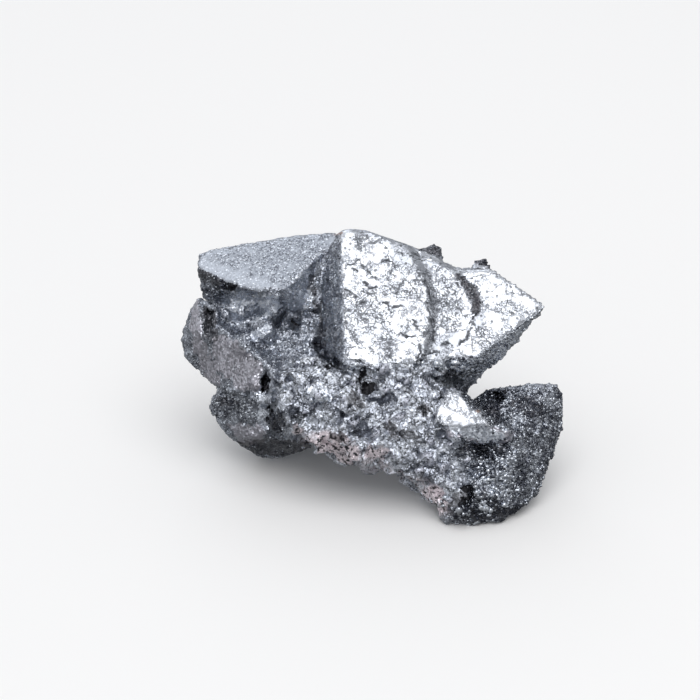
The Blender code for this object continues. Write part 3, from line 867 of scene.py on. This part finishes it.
def cluster_material(colours):
    """Every surface of the cluster, by the zones that its mesh's attributes name."""
    material, tree, shader = new_material("hematite_faces")
    rough = noise_node(tree, 1400.0, 4.0, 0.6)
    mottle = noise_node(tree, 420.0, 6.0, 0.65)
    zones = zone_shares(tree, rough)
    crumbly, mirror, frost = zones["crumbly"], zones["mirror"], zones["frost"]
    crackle = group_node(tree, "crackle", Worn=zones["worn"])
    clods = group_node(tree, "clods")
    kinds = (FACE_GRAINS, MIRROR_GRAINS, FROST_GRAINS, GROUND_GRAINS)
    face, polished, frosting, sugar = (group_node(tree, "tilted_grains", **kind) for kind in kinds)

    surface = druse_colour(tree, zones, colours, mottle, face)
    ground, lit_grains = ground_colour(tree, zones, colours, sugar.outputs["Random"], clods)
    surface = mixed(tree, crumbly, surface, ground)
    porous = plus(tree, noise_node(tree, 1500.0, 3.0, 0.6), times(tree, zones["warm"], 0.1))
    surface = mixed(tree, times(tree, crumbly, span(tree, porous, 0.6, 0.68)), surface, PORE)
    surface = mixed(tree, zones["pale"], surface, colours.pale[:])
    surface = mixed(tree, frost, surface, frosted_colour(tree, zones, colours, frosting))
    bright = bright_colour(tree, zones, colours, mottle, crackle.outputs["Worn"])
    surface = mixed(tree, mirror, surface, bright)
    line = times(tree, zones["line"], span(tree, rough, 0.36, 0.52))
    marks = times(tree, larger(tree, crackle.outputs["Marks"], line), mirror)
    marks = times(tree, marks, blended(tree, zones["small_face"], 1.0, 0.55))
    surface = mixed(tree, times(tree, marks, 0.93), surface, CRACK)
    surface = mixed(tree, zones["rust"], surface, RUST)
    shaded = larger(tree, times(tree, zones["dark"], 0.7), times(tree, zones["ledge"], 0.85))
    surface = mixed(tree, shaded, surface, SHADE)
    # Painted shade in the hollows, which the relief also sinks.
    surface = mixed(tree, zones["hollow"], surface, HOLLOW_SHADE)
    feed(tree, surface, shader.inputs["Base Color"])

    roughness = blended(tree, mirror, 0.34, 0.22)
    for share, value in ((frost, 0.42), (zones["pale"], 0.5), (crumbly, 0.36)):
        roughness = blended(tree, share, roughness, value)
    feed(tree, roughness, shader.inputs["Roughness"])
    feed(tree, blended(tree, crumbly, 1.0, 0.68), shader.inputs["Metallic"])

    normal = mixed_vectors(tree, crumbly, face.outputs["Normal"], sugar.outputs["Normal"])
    normal = mixed_vectors(tree, frost, normal, frosting.outputs["Normal"])
    normal = mixed_vectors(tree, mirror, normal, polished.outputs["Normal"])
    crust = times(tree, times(tree, noise_node(tree, 1300.0, 5.0, 0.65), crumbly), 2.2)
    relief = plus(tree, plus(tree, times(tree, mottle, mirror), marks), crust)
    relief = plus(tree, relief, times(tree, times(tree, clods.outputs["Gaps"], crumbly), 0.8))
    normal = bump_node(tree, 0.7, 0.2 * MM, relief, normal)
    lit_normal = mixed_vectors(tree, 0.8, sugar.outputs["Normal"], growth_normal(tree))
    normal = mixed_vectors(tree, times(tree, lit_grains, crumbly), normal, lit_normal)
    feed(tree, normal, shader.inputs["Normal"])
    return material


def druse_material():
    """Small crystals of one metal, each face between a dark and a light colour by its tone, which holds painted
    glints and painted shade.
    """
    material, tree, shader = new_material("hematite_druse", Metallic=1.0, Roughness=0.12)
    surface = mixed(tree, attribute_socket(tree, "tone"), DRUSE_DARK, DRUSE_LIGHT)
    feed(tree, surface, shader.inputs["Base Color"])
    grains = group_node(tree, "tilted_grains", **DRUSE_GRAINS)
    feed(tree, grains.outputs["Normal"], shader.inputs["Normal"])
    return material


def crumb_material():
    """Porous crumbs, by the tone of each face."""
    material, tree, shader = new_material("hematite_crumbs", Metallic=0.75, Roughness=0.3)
    grains = group_node(tree, "tilted_grains", **CRUMB_GRAINS)
    surface = mixed(tree, attribute_socket(tree, "tone"), CRUMB_DARK, CRUMB_LIGHT)
    surface = mixed(tree, span(tree, grains.outputs["Random"], 0.55, 0.95), surface, GRIT)
    surface = mixed(tree, span(tree, noise_node(tree, 2100.0, 3.0, 0.6), 0.6, 0.68), surface, CRUMB_PORE)
    feed(tree, surface, shader.inputs["Base Color"])
    crust = noise_node(tree, 1300.0, 5.0, 0.65)
    feed(tree, bump_node(tree, 0.8, 0.4 * MM, crust, grains.outputs["Normal"]), shader.inputs["Normal"])
    return material


# ---------------------------------------------------------------- the cluster


def facet_heights(points, width, tilt):
    """Flat cells of this width, each tilted its own way by up to this slope."""
    heights = np.empty(len(points))
    for index, point in enumerate(points / width):
        middle = noise.voronoi(point)[1][0]
        slope = noise.noise_vector(middle * 7.31)
        heights[index] = slope.dot(Vector(point) - middle)
    return heights * width * tilt


def rounded_cells(points, width):
    """Round-topped cells of this width: 1 at the middle of each, and lower towards its edge."""
    heights = np.empty(len(points))
    for index, point in enumerate(points / width):
        near = noise.voronoi(point)[0]
        heights[index] = 1.0 - near[0] * near[0] * 1.6
    return heights


def refined(mesh, chosen):
    """Halves the edges between the chosen points of a mesh."""
    bm = bmesh.new()
    bm.from_mesh(mesh)
    wanted = set(np.flatnonzero(chosen))
    edges = [edge for edge in bm.edges if edge.verts[0].index in wanted and edge.verts[1].index in wanted]
    bmesh.ops.subdivide_edges(bm, edges=edges, cuts=1, use_grid_fill=True)
    bm.to_mesh(mesh)
    bm.free()


def smoothed(mesh, chosen, rounds):
    """Smooths the chosen points of a mesh this many times over, and gives all its points."""
    bm = bmesh.new()
    bm.from_mesh(mesh)
    verts = [vert for vert, wanted in zip(bm.verts, chosen) if wanted]
    for _ in range(rounds):
        bmesh.ops.smooth_vert(bm, verts=verts, factor=0.5, use_axis_x=True, use_axis_y=True, use_axis_z=True)
    bm.to_mesh(mesh)
    bm.free()
    return mesh_points(mesh)


def levelled(points, small_face):
    """Lays the small bright face on one plane, and lifts the floor of the groove at the left of the large one."""
    x, y, z = to_face_on(points).T
    corner_x, corner_y, corner_z = SMALL_FACE_CORNER
    slope_x, slope_z = -FACE_NORMAL.x / FACE_NORMAL.y, -FACE_NORMAL.z / FACE_NORMAL.y
    plane = corner_y + slope_x * (x - corner_x) + slope_z * (z - corner_z)
    y = np.where((small_face > 0.5) & (y < 0.0), plane, y)
    groove = (x > GROOVE_ACROSS[0]) & (x < GROOVE_ACROSS[1]) & (z > GROOVE_UP[0]) & (z < GROOVE_UP[1])
    y = np.where(groove & (y < GROOVE_BACK), np.minimum(y, GROOVE_FLOOR), y)
    forward = np.array(Matrix.Rotation(-LEAN, 3, "X"))
    return (np.stack([x, y, z], axis=1) @ forward.T + np.array(FACE_ON_ORIGIN)) * MM


def refine_grid(mesh):
    """Gives the crumbly ground and the crinkled lines a finer grid."""
    refined(mesh, zones_of(mesh_points(mesh), mesh_normals(mesh))["crumbly"] > 0.5)
    beside_lines = [(path, half_width + 0.2) for path, half_width in CRINKLES]
    for _ in range(2):
        front = directions_face_on(mesh_normals(mesh))[:, 1] < -0.3
        exact = to_face_on(mesh_points(mesh))
        places = exact + 0.6 * (wandered(exact) - exact)
        refined(mesh, front & (strokes_share(places, beside_lines) > 0.1))


def relief_of(points, zones, sizes):
    """How far each point moves out, in metres: broken ground, small facets and smooth bright faces."""
    crumbly, mirror, frost = zones["crumbly"], zones["mirror"], zones["frost"]
    plain = (1.0 - mirror) * (1.0 - frost) * (1.0 - crumbly) * (1.0 - 0.85 * zones["satin"])
    plain *= 1.0 - 0.85 * zones["rim"]
    lumps = rounded_cells(points, sizes.lump)
    clods = rounded_cells(points + 0.07, sizes.lump * 2.1)
    blocks = facet_heights(points + 0.03, sizes.lump * 1.5, 1.1)
    shards = facet_heights(points + 0.05, sizes.lump * 0.5, 0.8)
    facets = facet_heights(points + 0.02, 1.3 * MM, 0.7)
    waves = soft_noise(points, 3.2 * MM)
    broken = sizes.lump_relief * (0.3 * lumps - 0.2 + clods - 0.6) + blocks + shards
    height = np.clip(crumbly * (1.0 - 0.5 * zones["warm"]) * broken, -1.0 * MM, 0.8 * MM)
    height += plain * (facets + 0.12 * MM * waves)
    height += (mirror + frost) * 0.03 * MM * soft_noise(points, 1.5 * MM)
    return height - (zones["hollow"] * 0.5 * MM + zones["line"] * 0.1 * MM)


def inside_cad_box(points):
    low, high = (np.array(corner) for corner in CAD_BOX)
    return np.clip(points, low, high)


def shape_relief(mesh, sizes):
    """Moves the grid's points in and out, zone by zone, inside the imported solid's box."""
    refine_grid(mesh)
    points, normals = mesh_points(mesh), mesh_normals(mesh)
    zones = zones_of(points, normals)
    smoothed(mesh, zones["frost"] > 0.3, 5)
    smoothed(mesh, spots_share(to_face_on(points), APEXES) > 0.5, 25)
    points = levelled(smoothed(mesh, zones["mirror"] > 0.3, 10), zones["small_face"])
    height = relief_of(points, zones, sizes)
    mesh.vertices.foreach_set("co", inside_cad_box(points + normals * height[:, None]).ravel())
    mesh.update()
    # The height, kept so that the ground's colour paints shade in its low places and light on its high ones.
    zones["high"] = np.clip(0.5 + 0.4 * height / sizes.lump_relief, 0.0, 1.0)
    for name, values in zones.items():
        set_attribute(mesh, name, values)


# ---------------------------------------------------------------- small pieces joined from arrays


def arrays_of(bm):
    """The vertices and triangles of a bmesh, which this frees."""
    bmesh.ops.triangulate(bm, faces=bm.faces[:])
    bm.verts.index_update()
    points = np.array([v.co[:] for v in bm.verts])
    faces = np.array([[v.index for v in f.verts] for f in bm.faces])
    bm.free()
    return points, faces


def octahedron():
    bm = bmesh.new()
    bmesh.ops.create_uvsphere(bm, u_segments=4, v_segments=2, radius=1.0)
    return arrays_of(bm)


def broken_shape(rng, corners):
    """A broken lump: the hull of random points near a sphere."""
    bm = bmesh.new()
    for place in rng.normal(size=(corners, 3)):
        bm.verts.new(Vector(place).normalized() * rng.uniform(0.8, 1.1))
    bmesh.ops.convex_hull(bm, input=bm.verts[:])
    bmesh.ops.delete(bm, geom=[vert for vert in bm.verts if not vert.link_faces], context="VERTS")
    bmesh.ops.recalc_face_normals(bm, faces=bm.faces[:])
    return arrays_of(bm)


def mesh_from_arrays(name, points, faces):
    mesh = bpy.data.meshes.new(name)
    mesh.vertices.add(len(points))
    mesh.vertices.foreach_set("co", points.astype(np.float32).ravel())
    mesh.loops.add(faces.size)
    mesh.loops.foreach_set("vertex_index", faces.astype(np.int32).ravel())
    mesh.polygons.add(len(faces))
    mesh.polygons.foreach_set("loop_start", np.arange(0, faces.size, 3, dtype=np.int32))
    mesh.update(calc_edges=True)
    mesh.validate()
    return mesh


def small_turns(rng, count, angle):
    """Random small rotations, as matrices: their angles spread about this one."""
    axes = rng.normal(size=(count, 3))
    axes /= np.linalg.norm(axes, axis=1)[:, None]
    angles = np.abs(rng.normal(0.0, angle, count))
    cross = np.zeros((count, 3, 3))
    cross[:, 0, 1], cross[:, 0, 2] = -axes[:, 2], axes[:, 1]
    cross[:, 1, 0], cross[:, 1, 2] = axes[:, 2], -axes[:, 0]
    cross[:, 2, 0], cross[:, 2, 1] = -axes[:, 1], axes[:, 0]
    sines, cosines = np.sin(angles)[:, None, None], np.cos(angles)[:, None, None]
    return np.eye(3) + sines * cross + (1.0 - cosines) * (cross @ cross)


def growth_turn():
    """The turn that all the small crystals share: one of their faces lies along the bright faces."""
    return np.array(Vector((1, 1, 1)).rotation_difference(growth_direction()).to_matrix())


def expected_on(mesh, density):
    """A mesh's triangles, and how many points each gets at this density to the square mm at its vertices."""
    mesh.calc_loop_triangles()
    corners = np.empty(len(mesh.loop_triangles) * 3, np.int32)
    mesh.loop_triangles.foreach_get("vertices", corners)
    corners = corners.reshape(-1, 3)
    points = mesh_points(mesh)
    a, b, c = (points[corners[:, i]] for i in range(3))
    areas = np.linalg.norm(np.cross(b - a, c - a), axis=1) * 0.5 * PER_MM**2
    return corners, areas * density[corners].mean(axis=1)


def scattered(rng, mesh, density):
    """Random points on this mesh, as many as expected_on says, with their normals.

    Also a function that gives the value of an attribute at each point."""
    corners, expected = expected_on(mesh, density)
    count = int(round(expected.sum()))
    chosen = rng.choice(len(corners), count, p=expected / expected.sum())
    u, v = rng.random((2, count))
    over = u + v > 1.0
    u[over], v[over] = 1.0 - u[over], 1.0 - v[over]
    weights = np.stack([1.0 - u - v, u, v], axis=1)[:, :, None]
    at = corners[chosen]
    spread = (mesh_points(mesh)[at] * weights).sum(axis=1)
    out = (mesh_normals(mesh)[at] * weights).sum(axis=1)
    out /= np.linalg.norm(out, axis=1)[:, None]

    def there(values):
        return (values[at][:, :, None] * weights).sum(axis=1)[:, 0]

    return spread, out, there


def joined_copies(name, shape, centres, turns, scales, tones_and_painted_light):
    """One object of many copies of a shape, each turned, scaled and moved, with a tone for each face; the tones
    of the small crystals and chips hold painted light and shade.
    """
    points, faces = shape
    placed = np.einsum("nij,nkj->nki", turns, points[None] * scales[:, None, :]) + centres[:, None, :]
    placed = inside_cad_box(placed.reshape(-1, 3))
    offsets = np.arange(len(centres))[:, None, None] * len(points)
    mesh = mesh_from_arrays(name, placed, (faces[None] + offsets).reshape(-1, 3))
    tone = mesh.attributes.new("tone", "FLOAT", "FACE")
    tone.data.foreach_set("value", np.clip(tones_and_painted_light, 0.0, 1.0).astype(np.float32).ravel())
    return linked_object(name, mesh)


def dress(obj, material):
    """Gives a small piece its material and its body."""
    obj.data.materials.append(material)
    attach(obj, "root")


def places_on(mesh, spots):
    """The foremost point of this mesh near each (x, z) face on, and the normal there."""
    points, normals = mesh_points(mesh), mesh_normals(mesh)
    places = to_face_on(points)
    nearest = []
    for x, z, *_ in spots:
        close = np.flatnonzero(np.hypot(places[:, 0] - x, places[:, 2] - z) < 0.7)
        nearest.append(close[np.argmin(places[close, 1])])
    return points[nearest], normals[nearest]


# ---------------------------------------------------------------- steps


class HEMATITE_OT_surfaces(bpy.types.Operator):
    """Make the shader groups that the surfaces share"""

    bl_idname = "hematite.surfaces"
    bl_label = "Make Surfaces"

    def execute(self, context):
        grains_group()
        crackle_group()
        clods_group()
        return {"FINISHED"}


class HEMATITE_OT_cluster(bpy.types.Operator):
    """Finish the cluster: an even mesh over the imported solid, with its relief and surface"""

    bl_idname = "hematite.cluster"
    bl_label = "Finish Cluster"

    def execute(self, context):
        sizes = context.scene.hematite_sizes
        noise.seed_set(NOISE_SEED)
        obj = remeshed_copy(CLUSTER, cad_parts[NODE].data, sizes.grid)
        shape_relief(obj.data, sizes)
        obj.data.materials.clear()
        obj.data.materials.append(cluster_material(context.scene.hematite_colours))
        obj.data.shade_smooth()
        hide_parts(NODE)
        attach(obj, "root")
        return {"FINISHED"}


class HEMATITE_OT_druse(bpy.types.Operator):
    """Grow the coat of small crystals over the faces that sparkle"""

    bl_idname = "hematite.druse"
    bl_label = "Grow Druse"

    def execute(self, context):
        sizes = context.scene.hematite_druse
        mesh = bpy.data.objects[CLUSTER].data
        zone = {name: attribute_values(mesh, name) for name in DRUSE_ZONES}
        smooth = (zone["mirror"], zone["frost"], 0.92 * zone["satin"], zone["rim"])
        bare = np.maximum.reduce([*smooth, zone["crumbly"]])
        sparkle = np.maximum(zone["sparkly"], zone["underside"])
        crowded = np.maximum(zone["ledge"], zone["underside"])
        density = (6.0 + 3.0 * sparkle) * (1.0 - bare) + 3.0 * crowded + 0.6 * zone["crumbly"]
        density *= sizes.cover * (1.0 - 0.3 * zone["hollow"])
        rng = np.random.default_rng(DRUSE_SEED)
        centres, out, there = scattered(rng, mesh, density)
        count = len(centres)
        coarse, lively, ground = map(there, (zone["coarse"], sparkle, zone["crumbly"]))
        names = ("hollow", "ledge", "dark", "underside", "slope")
        hollow, ledge, dark, under, slope = (there(zone[name]) for name in names)
        half = sizes.fine * (0.7 + 1.0 * lively + 0.7 * rng.random(count) ** 2) * (1.0 - 0.3 * ground)
        half += coarse * (sizes.coarse - sizes.fine) * rng.random(count) ** 4
        centres -= out * (half * rng.uniform(0.25, 0.7, count))[:, None]
        turns = small_turns(rng, count, sizes.jitter) @ growth_turn()
        scales = half[:, None] * rng.uniform(0.85, 1.15, (count, 3))
        # Face tones: random, darker in the hollows, ledges and dark patches as painted shade, lighter on the
        # undersides as painted light, and lighter on the ground, the slopes and the coarse patch.
        painted_light_and_tone = 0.55 * soft_noise(centres, 2.6 * MM) + 0.35 * ground - 0.4 * hollow - 0.3 * ledge
        painted_light_and_tone += 0.25 * under + 0.35 * slope + 0.12 * coarse - 0.42 * dark - 0.05 * lively
        painted_light_and_tone += 0.3 * lively * soft_noise(centres + 0.04, 1.7 * MM)
        shape = octahedron()
        # Each face also varies at random, and more so where the crystals sparkle: painted glints and painted
        # shade on the facets.
        tones_and_painted_light = (rng.beta(1.0, 1.8, count) + painted_light_and_tone)[:, None] + rng.normal(0.0, 0.3, (count, len(shape[1])))
        tones_and_painted_light = 0.4 + (tones_and_painted_light - 0.4) * (1.0 + 0.55 * lively)[:, None]
        material = druse_material()
        order = np.argsort(centres[:, 0], kind="stable")
        parts = max(1, math.ceil(count * len(shape[1]) / MOST_TRIANGLES))
        for number, chosen in enumerate(np.array_split(order, parts), start=1):
            picked = (array[chosen] for array in (centres, turns, scales, tones_and_painted_light))
            dress(joined_copies(f"druse_{number}", shape, *picked), material)
        return {"FINISHED"}


class HEMATITE_OT_crumbs(bpy.types.Operator):
    """Set the broken crumbs of the ground"""

    bl_idname = "hematite.crumbs"
    bl_label = "Set Crumbs"

    def execute(self, context):
        sizes = context.scene.hematite_druse
        mesh = bpy.data.objects[CLUSTER].data
        density = attribute_values(mesh, "crumbly") * (1.0 - attribute_values(mesh, "hollow")) ** 2
        density *= 1.0 - 0.8 * attribute_values(mesh, "warm")
        density *= ramp(directions_face_on(mesh_normals(mesh))[:, 2], -0.7, -0.1)
        rng = np.random.default_rng(CRUMB_SEED)
        material = crumb_material()
        total = sizes.crumbs / expected_on(mesh, density)[1].sum() / CRUMB_SHAPES
        for number in range(1, CRUMB_SHAPES + 1):
            shape = broken_shape(rng, CRUMB_CORNERS)
            centres, out, _ = scattered(rng, mesh, density * total)
            count = len(centres)
            half = sizes.crumb * (0.4 + 1.5 * rng.random(count) ** 3)
            centres -= out * (half * rng.uniform(0.5, 0.85, count))[:, None]
            turns = small_turns(rng, count, math.radians(90.0))
            scales = half[:, None] * rng.uniform(0.7, 1.25, (count, 3))
            tones_and_painted_light = rng.random(count)[:, None] + rng.normal(0.0, 0.15, (count, len(shape[1])))
            dress(joined_copies(f"crumbs_{number}", shape, centres, turns, scales, tones_and_painted_light), material)
        return {"FINISHED"}


class HEMATITE_OT_lumps(bpy.types.Operator):
    """Set the larger lumps of the ground, each in its place"""

    bl_idname = "hematite.lumps"
    bl_label = "Set Lumps"

    def execute(self, context):
        rng = np.random.default_rng(LUMP_SEED)
        shape = broken_shape(rng, LUMP_CORNERS)
        count = len(LUMPS)
        _, _, half_mm, brightness = np.array(LUMPS).T
        half = half_mm * MM
        centres, out = places_on(bpy.data.objects[CLUSTER].data, LUMPS)
        centres = centres - out * 0.5 * half[:, None]
        turns = small_turns(rng, count, math.radians(90.0))
        scales = half[:, None] * rng.uniform(0.75, 1.2, (count, 3))
        tones_and_painted_light = brightness[:, None] + rng.normal(0.0, 0.12, (count, len(shape[1])))
        material = bpy.data.materials["hematite_crumbs"]
        dress(joined_copies("lumps", shape, centres, turns, scales, tones_and_painted_light), material)
        return {"FINISHED"}


class HEMATITE_OT_chips(bpy.types.Operator):
    """Set the bright chips that lie along the bright faces' direction"""

    bl_idname = "hematite.chips"
    bl_label = "Set Chips"

    def execute(self, context):
        mesh = bpy.data.objects[CLUSTER].data
        rng = np.random.default_rng(CHIP_SEED)
        chips, coarse = attribute_values(mesh, "chips"), attribute_values(mesh, "coarse")
        centres, out, there = scattered(rng, mesh, 0.8 * chips + 0.7 * coarse)
        count = len(centres)
        half = (0.25 + 0.6 * rng.random(count) ** 2) * MM * (1.0 + 0.6 * there(chips) * rng.random(count))
        centres += out * (half * rng.uniform(-0.2, 0.3, count))[:, None]
        turns = small_turns(rng, count, math.radians(6.0)) @ growth_turn()
        scales = half[:, None] * rng.uniform(0.6, 1.4, (count, 3))
        shape = octahedron()
        # Mostly light faces: painted glints on chips that also turn towards the light.
        tones_and_painted_light = rng.normal(0.85, 0.3, (count, len(shape[1])))
        material = bpy.data.materials["hematite_druse"]
        dress(joined_copies("bright_chips", shape, centres, turns, scales, tones_and_painted_light), material)
        return {"FINISHED"}


class HEMATITE_OT_stage(bpy.types.Operator):
    """Set up the pale floor, the soft lights and the camera"""

    bl_idname = "hematite.stage"
    bl_label = "Set Stage"

    def execute(self, context):
        make_floor()
        add_area_light("overhead_softbox", (0.09, -0.3, 0.95), distance=0.9, size=0.95, watts=4.3)
        add_area_light(
            "back_softbox", (-0.2, 0.8, 0.55), distance=1.1, size=0.8, watts=1.6, shade=(0.92, 0.96, 1.0)
        )
        make_sky()
        make_camera(context.scene.hematite_stage)
        context.scene.view_settings.view_transform = "Standard"
        return {"FINISHED"}


# ---------------------------------------------------------------- the stage


def make_floor():
    bm = bmesh.new()
    bmesh.ops.create_grid(bm, x_segments=1, y_segments=1, size=3.0)
    mesh = bpy.data.meshes.new("studio_floor")
    bm.to_mesh(mesh)
    bm.free()
    floor = linked_object("studio_floor", mesh)
    settings = {"Base Color": FLOOR_GREY, "Roughness": 0.9, "Specular IOR Level": 0.0}
    mesh.materials.append(new_material("studio_floor", **settings)[0])
    floor.visible_glossy = False


def add_area_light(name, towards, distance, size, watts, shade=(1.0, 1.0, 1.0)):
    data = bpy.data.lights.new(name, "AREA")
    data.shape = "DISK"
    data.size = size
    data.energy = watts
    data.color = shade
    light = linked_object(name, data)
    middle = Vector((0.0, 0.0, 0.02))
    light.location = middle + Vector(towards).normalized() * distance
    light.rotation_mode = "QUATERNION"
    light.rotation_quaternion = (-Vector(towards)).to_track_quat("-Z", "Y")


def make_sky():
    """A soft studio sky, brighter above, behind and to the left."""
    world = bpy.data.worlds.new("studio")
    bpy.context.scene.world = world
    world.use_nodes = True
    tree = world.node_tree
    background = tree.nodes["Background"]
    parts = tree.nodes.new("ShaderNodeSeparateXYZ")
    feed(tree, tree.nodes.new("ShaderNodeTexCoord").outputs["Generated"], parts.inputs[0])
    up = span(tree, parts.outputs["Z"], -0.6, 0.35)
    back = span(tree, parts.outputs["Y"], -0.7, 0.8)
    left = span(tree, parts.outputs["X"], 0.6, -0.9)
    level = times_plus(tree, up, 0.34, 0.21)
    level = times(tree, level, times_plus(tree, back, 0.3, 0.9))
    level = times(tree, level, times_plus(tree, left, 0.35, 0.9))
    sky = mixed(tree, level, (0.0, 0.0, 0.0, 1.0), (0.97, 0.985, 1.0, 1.0))
    feed(tree, sky, background.inputs["Color"])
    background.inputs["Strength"].default_value = 1.0


def make_camera(stage):
    data = bpy.data.cameras.new("camera")
    camera = linked_object("camera", data)
    bpy.context.scene.camera = camera
    data.sensor_width = 36.0
    data.lens = data.sensor_width * stage.distance / stage.view_width
    data.clip_start, data.clip_end = 0.01, 20.0
    back = Vector((0.0, -math.cos(stage.elevation), math.sin(stage.elevation)))
    up = Vector((0.0, math.sin(stage.elevation), math.cos(stage.elevation)))
    right = Vector((1.0, 0.0, 0.0))
    middle = FACE_ON_ORIGIN * MM + right * VIEW_SHIFT[0] * MM + up * VIEW_SHIFT[1] * MM
    camera.location = middle + back * stage.distance
    camera.rotation_mode = "QUATERNION"
    camera.rotation_quaternion = (-back).to_track_quat("-Z", "Y")


# ---------------------------------------------------------------- the add-on


class HEMATITE_PT_panel(bpy.types.Panel):
    """Sizes and colours of the hematite cluster, and the steps that make it"""

    bl_label = "Hematite Cluster"
    bl_idname = "HEMATITE_PT_panel"
    bl_space_type = "VIEW_3D"
    bl_region_type = "UI"
    bl_category = "Hematite"

    def draw(self, context):
        scene = context.scene
        sizes = (scene.hematite_sizes, scene.hematite_druse, scene.hematite_stage)
        for group in (*sizes, scene.hematite_colours):
            box = self.layout.box()
            for name in group.bl_rna.properties.keys():
                if name not in ("rna_type", "name"):
                    box.prop(group, name)
        for operator in OPERATORS:
            self.layout.operator(operator.bl_idname)


OPERATORS = (
    HEMATITE_OT_surfaces,
    HEMATITE_OT_cluster,
    HEMATITE_OT_druse,
    HEMATITE_OT_crumbs,
    HEMATITE_OT_lumps,
    HEMATITE_OT_chips,
    HEMATITE_OT_stage,
)
CLASSES = (ClusterSizes, DruseSizes, SurfaceColours, StageSizes, *OPERATORS, HEMATITE_PT_panel)


def register():
    for cls in CLASSES:
        bpy.utils.register_class(cls)
    bpy.types.Scene.hematite_sizes = PointerProperty(type=ClusterSizes)
    bpy.types.Scene.hematite_druse = PointerProperty(type=DruseSizes)
    bpy.types.Scene.hematite_colours = PointerProperty(type=SurfaceColours)
    bpy.types.Scene.hematite_stage = PointerProperty(type=StageSizes)


def unregister():
    for name in ("hematite_sizes", "hematite_druse", "hematite_colours", "hematite_stage"):
        delattr(bpy.types.Scene, name)
    for cls in reversed(CLASSES):
        bpy.utils.unregister_class(cls)


def main():
    register()
    bpy.ops.hematite.surfaces()
    bpy.ops.hematite.cluster()
    bpy.ops.hematite.druse()
    bpy.ops.hematite.crumbs()
    bpy.ops.hematite.lumps()
    bpy.ops.hematite.chips()
    bpy.ops.hematite.stage()
    bpy.context.view_layer.update()


if __name__ == "__main__":
    main()
